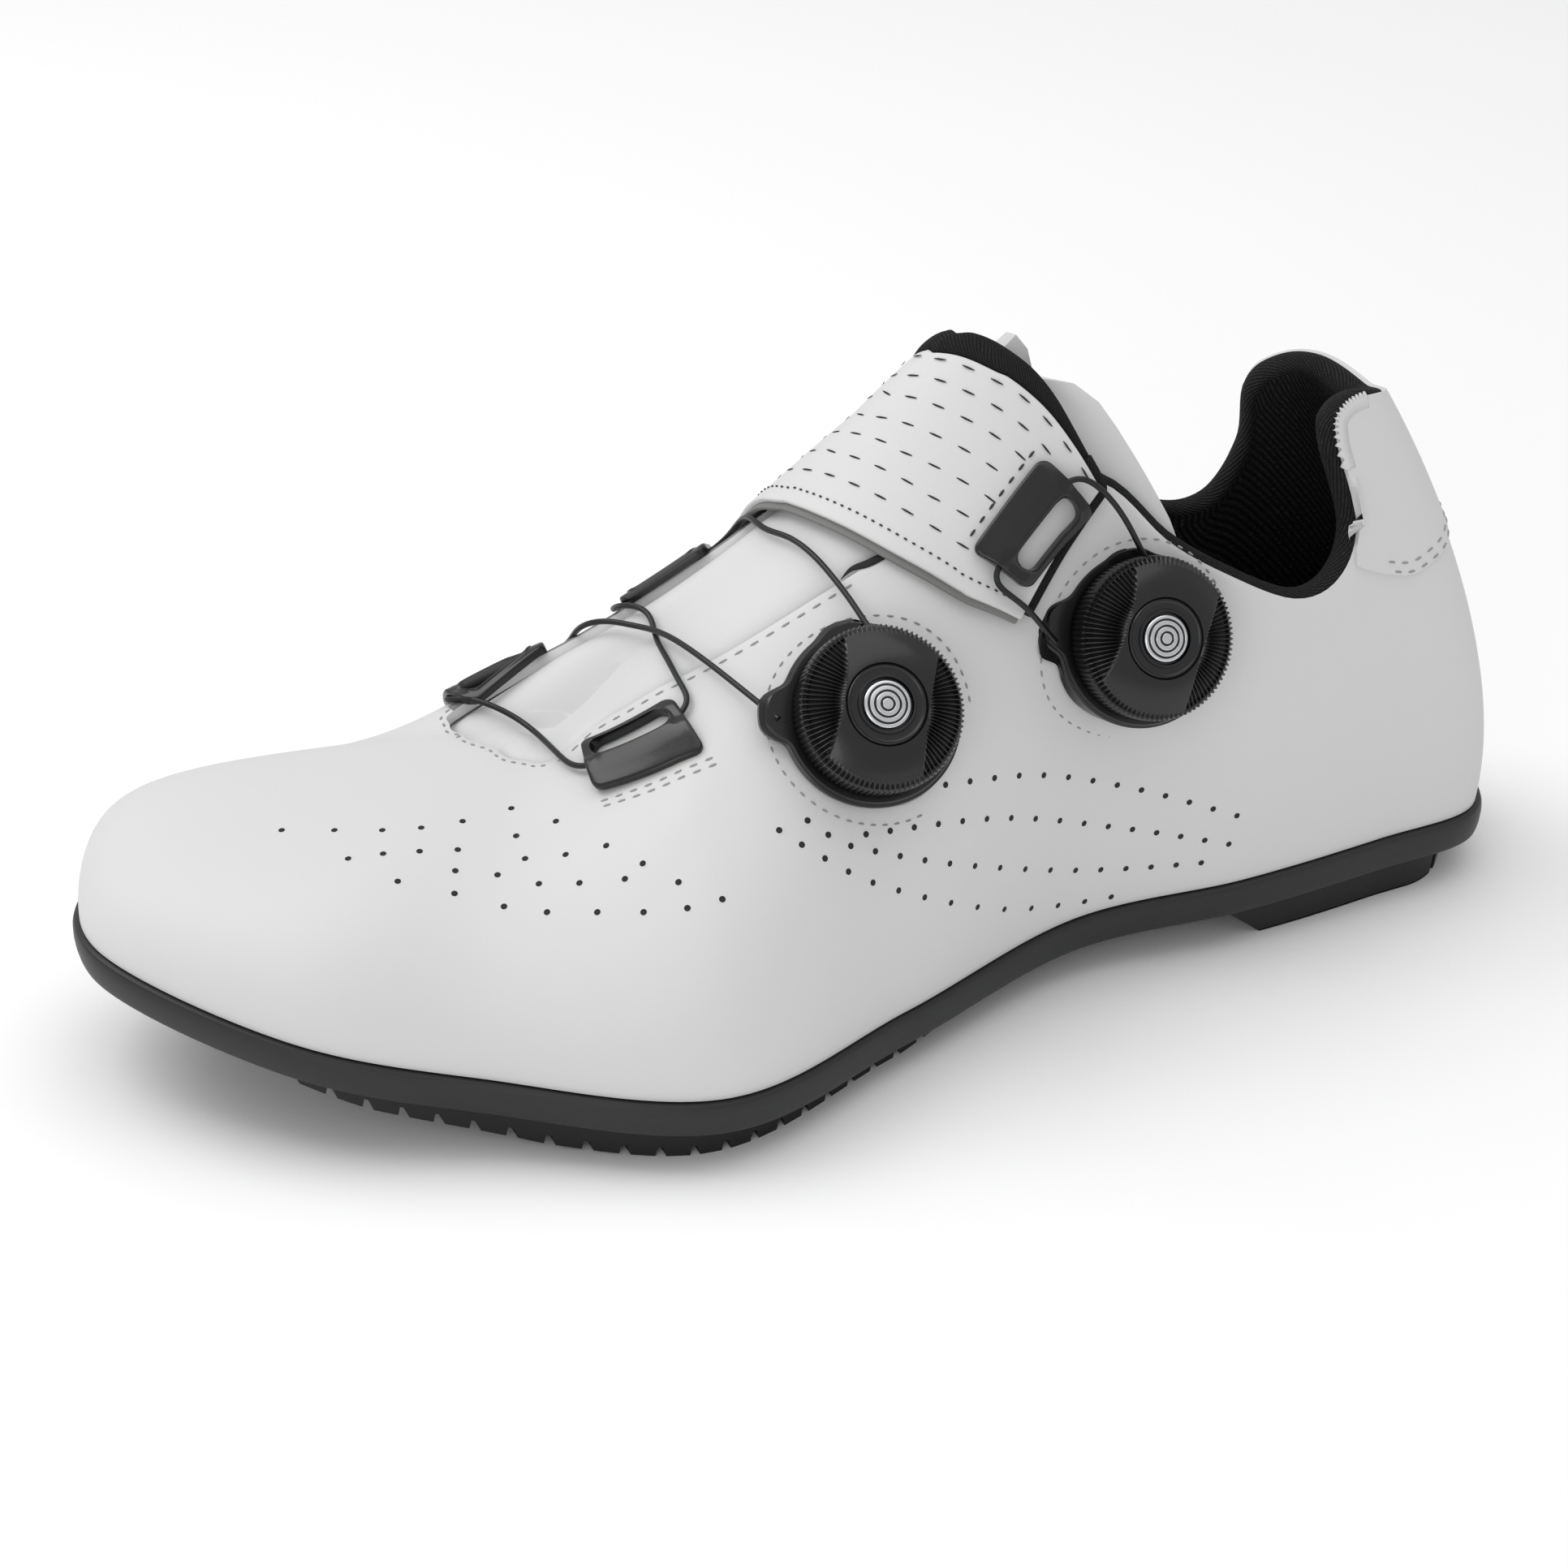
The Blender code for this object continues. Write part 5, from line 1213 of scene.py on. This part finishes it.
# Throat: a stitch line round its front, a sewn crease along the outer side, a bound cut edge on the inner side
stitch = {"high": 0.00002, "inset": -0.0016, "arcInset": -0.0011}
stitches("throatStitchOuter", *alongEdge(4.98, 6.95, stitch["inset"], stitch["high"]), length=0.0021, gap=0.0013,
         width=0.0006)
stitches("throatStitchFront", *alongEdge(7.0, 11.35, stitch["arcInset"], stitch["high"]), length=0.0012, gap=0.0010,
         width=0.0006)
ribbon("throatBinding", *alongEdge(11.35, 13.12, -0.0009, 0.0), 0.0019, 0.0004, cutEdgeAndShade)
stitches("throatStitchInner", *alongEdge(11.4, 13.1, -0.0030, stitch["high"]), length=0.0016, gap=0.0012)
# The throat slit is a tapered dark ribbon: painted shade in the cut.
throatSlit = ((4.97, 0.768), (4.91, 0.768), (4.84, 0.752), (4.76, 0.738), (4.66, 0.722))
ribbon("throatSlit", *alongSkin(throatSlit, 0.0001, 60), 0.0016, 0.00025, paintedHoleShade, taper=0.9)

# Strap: seven rows of slits, a stitched front edge and black threads beside the guide
def onStrapGuide(point):
    patch = guidePatch("guide_strap")[0]
    length, width = guideTable["guide_strap"][4:6]
    off = point - stand(patch.here)
    along, beside = off @ standDirection(patch.ahead), off @ standDirection(patch.beside)
    return abs(along) < 0.55 * length and abs(beside) < 0.62 * width


# The slits are dark dashes: painted shade in each cut.
work = bmesh.new()
slitRuns = np.linspace(0.035, 0.94, 200)
topHeight = strap["pad"] + strap["face"] + 0.0002
for index, share in enumerate((0.205, 0.335, 0.465, 0.595, 0.725, 0.845, 0.955)):
    addDashes(work, *upFrom(lambda height: strapPlace(slitRuns, share, height), topHeight), length=0.0032,
              gap=0.0029, width=0.00042, height=0.00008, start=0.0030 * (index % 2), avoid=onStrapGuide)
finishPiece("strapSlits", work, paintedHoleShade, [], 80)
stitches("strapStitchFront", *upFrom(lambda height: strapPlace(slitRuns, 0.085, height), topHeight - 0.00012),
         darkThread, length=0.0009, gap=0.0009, width=0.00045)
for run, tag in ((0.972, "Root"), (0.950, "RootInner")):
    stitches("strapStitch" + tag,
             *upFrom(lambda height: strapPlace(run, np.linspace(0.04, 0.97, 60), height), topHeight - 0.00012),
             length=0.0018, gap=0.0012)

# Flange stitches beside each guide
for guideName, material in (("guide_lateral", greyThread), ("guide_medial_front", greyThread),
                            ("guide_medial_rear", greyThread), ("guide_strap", darkThread)):
    length, width, side, lean = guideTable[guideName][4:]
    patch, low = guidePatch(guideName)
    onStrap = guideName == "guide_strap"
    for extra, tag in ((0.0018, "Near"), (0.0034, "Far")) if not onStrap else ((0.0016, "Near"),):
        b = -0.5 * width - extra
        a = np.linspace(-0.52 * length, 0.52 * length, 60)
        base = low - 0.0004 if onStrap else stitch["high"]
        path, up = upFrom(lambda height: patch.point(a + lean * b, side * b, height), base)
        if not onStrap:
            above = path + 0.001 * up
            path = onShell(path, up, stitch["high"])[0]
            up = above - path
        stitches(guideName.replace("guide_", "flangeStitch") + tag, path, up, material, length=0.0019, gap=0.0012,
                 width=0.0006)

# Heel: double stitched seam
for shift, tag in ((0.004, "Upper"), (0.016, "Lower")):
    path = [(row, level + shift) for row, level in heelSeam[1:-1]]
    stitches("heelStitch" + tag, *alongSkin(path, heelPanel["step"] + 0.00003, 500), length=0.0020, gap=0.0014,
             width=0.0006)

# Stitched arcs round the dials' seats
for dialName, (row, level, turnBy, tilt) in dialTable.items():
    patch = Patch(row, level, row + 0.3, level)
    angles = np.radians(np.linspace(-10, 290, 160) - 200)
    reach = dial["radius"] + dial["flange"] + 0.0026
    arc = reach * np.cos(angles), reach * np.sin(angles)
    stitches(dialName.replace("dial_", "seatStitch"),
             *upFrom(lambda height: patch.point(*arc, height), stitch["high"]), length=0.0015, gap=0.0011)
print("stitches made")


def onPixels(pixels):
    # Where the photograph's points lie on the shell, each with the way out of it.
    places = []
    for x, y in pixels:
        ray = pixelRay(x, y)
        point, normal = shellTree.ray_cast(cameraPlace, ray)[:2]
        if point is not None:
            places.append((point, normal if normal.dot(ray) < 0 else -normal))
    return places


def addCircle(work, at, up, radius):
    turnTo = up.to_track_quat("Z", "Y").to_matrix().to_4x4()
    return bmesh.ops.create_circle(work, cap_ends=True, segments=14, radius=radius,
                                   matrix=Matrix.Translation(at) @ turnTo)


# Punched holes: each a dark disc of painted shade in a low raised rim
holes = {"radius": 0.00062, "height": 0.00005, "rim": 0.00095, "rimHeight": 0.00003}
holePixels = (
    (347, 1023), (412, 1023), (471, 1023), (519, 1020), (570, 1012), (630, 996), (685, 1012), (636, 1030),
    (747, 1042), (429, 1058), (472, 1052), (517, 1049), (564, 1047), (647, 1058), (697, 1053), (792, 1064),
    (490, 1086), (561, 1073), (613, 1078), (664, 1089), (714, 1088), (770, 1083), (836, 1087), (890, 1108),
    (560, 1101), (621, 1117), (674, 1124), (736, 1124), (793, 1124), (847, 1119),
)
holeLines = (
    (((1165, 967), (1280, 955), (1400, 972), (1524, 1005)), 13),
    (((1067, 1028), (1235, 1008), (1380, 1020), (1514, 1040)), 16),
    (((995, 1011), (1033, 1036), (1069, 1047), (1170, 1064), (1294, 1072), (1390, 1070), (1480, 1063)), 17),
    (((960, 1023), (998, 1047), (1035, 1068), (1071, 1086), (1150, 1108), (1230, 1120), (1300, 1116), (1369, 1105)),
     14),
)
pixels = list(holePixels)
for line, count in holeLines:
    pixels += [tuple(p) for p in smoothCurve(line, count)]
holePlaces = onPixels(pixels)
discWork, rimWork = bmesh.new(), bmesh.new()
for at, up in holePlaces:
    addCircle(discWork, at + up * holes["height"], up, holes["radius"])
    face = addCircle(rimWork, at, up, holes["rim"])["verts"][0].link_faces[0]
    bmesh.ops.inset_region(rimWork, faces=[face], thickness=holes["rim"] - holes["radius"], use_boundary=True)
    bmesh.ops.translate(rimWork, verts=face.verts, vec=up * holes["rimHeight"])
    bmesh.ops.delete(rimWork, geom=[face], context="FACES_ONLY")
finishPiece("punchedHoles", discWork, paintedHoleShade)
finishPiece("holeRims", rimWork, leather)
print("holes made:", len(holePlaces))

# Floor and lights
floorWork = bmesh.new()
bmesh.ops.create_grid(floorWork, x_segments=1, y_segments=1, size=3.0)
floorMesh = bpy.data.meshes.new("studioFloor")
floorWork.to_mesh(floorMesh)
floorWork.free()
paper, paperTree, paperShader = newMaterial("paleStudioPaper", "#fbfbfb", 0.9)
floorMesh.materials.append(paper)
floor = bpy.data.objects.new("studioFloor", floorMesh)
bpy.context.collection.objects.link(floor)

bpy.context.scene.view_settings.view_transform = "Standard"
studio = bpy.data.worlds.new("studio")
studio.use_nodes = True
studio.node_tree.nodes["Background"].inputs["Color"].default_value = (1, 1, 1, 1)
studio.node_tree.nodes["Background"].inputs["Strength"].default_value = 0.62
bpy.context.scene.world = studio


def softBox(name, place, aim, size, watts):
    light = bpy.data.lights.new(name, "AREA")
    light.shape = "SQUARE"
    light.size = size
    light.energy = watts
    holder = bpy.data.objects.new(name, light)
    bpy.context.collection.objects.link(holder)
    holder.location = place
    holder.rotation_euler = (Vector(aim) - Vector(place)).to_track_quat("-Z", "Y").to_euler()


# Place, aim, size and strength of each light.
softBox("keyLight", (0.70, -0.45, 1.05), (0.11, 0, 0.03), 0.8, 5.6)
softBox("topLight", (0.0, 0.15, 1.4), (0.11, 0, 0.03), 1.3, 4.6)
softBox("sideLight", (0.9, 0.9, 0.45), (0.11, 0, 0.05), 0.6, 2.0)
print("stage set")
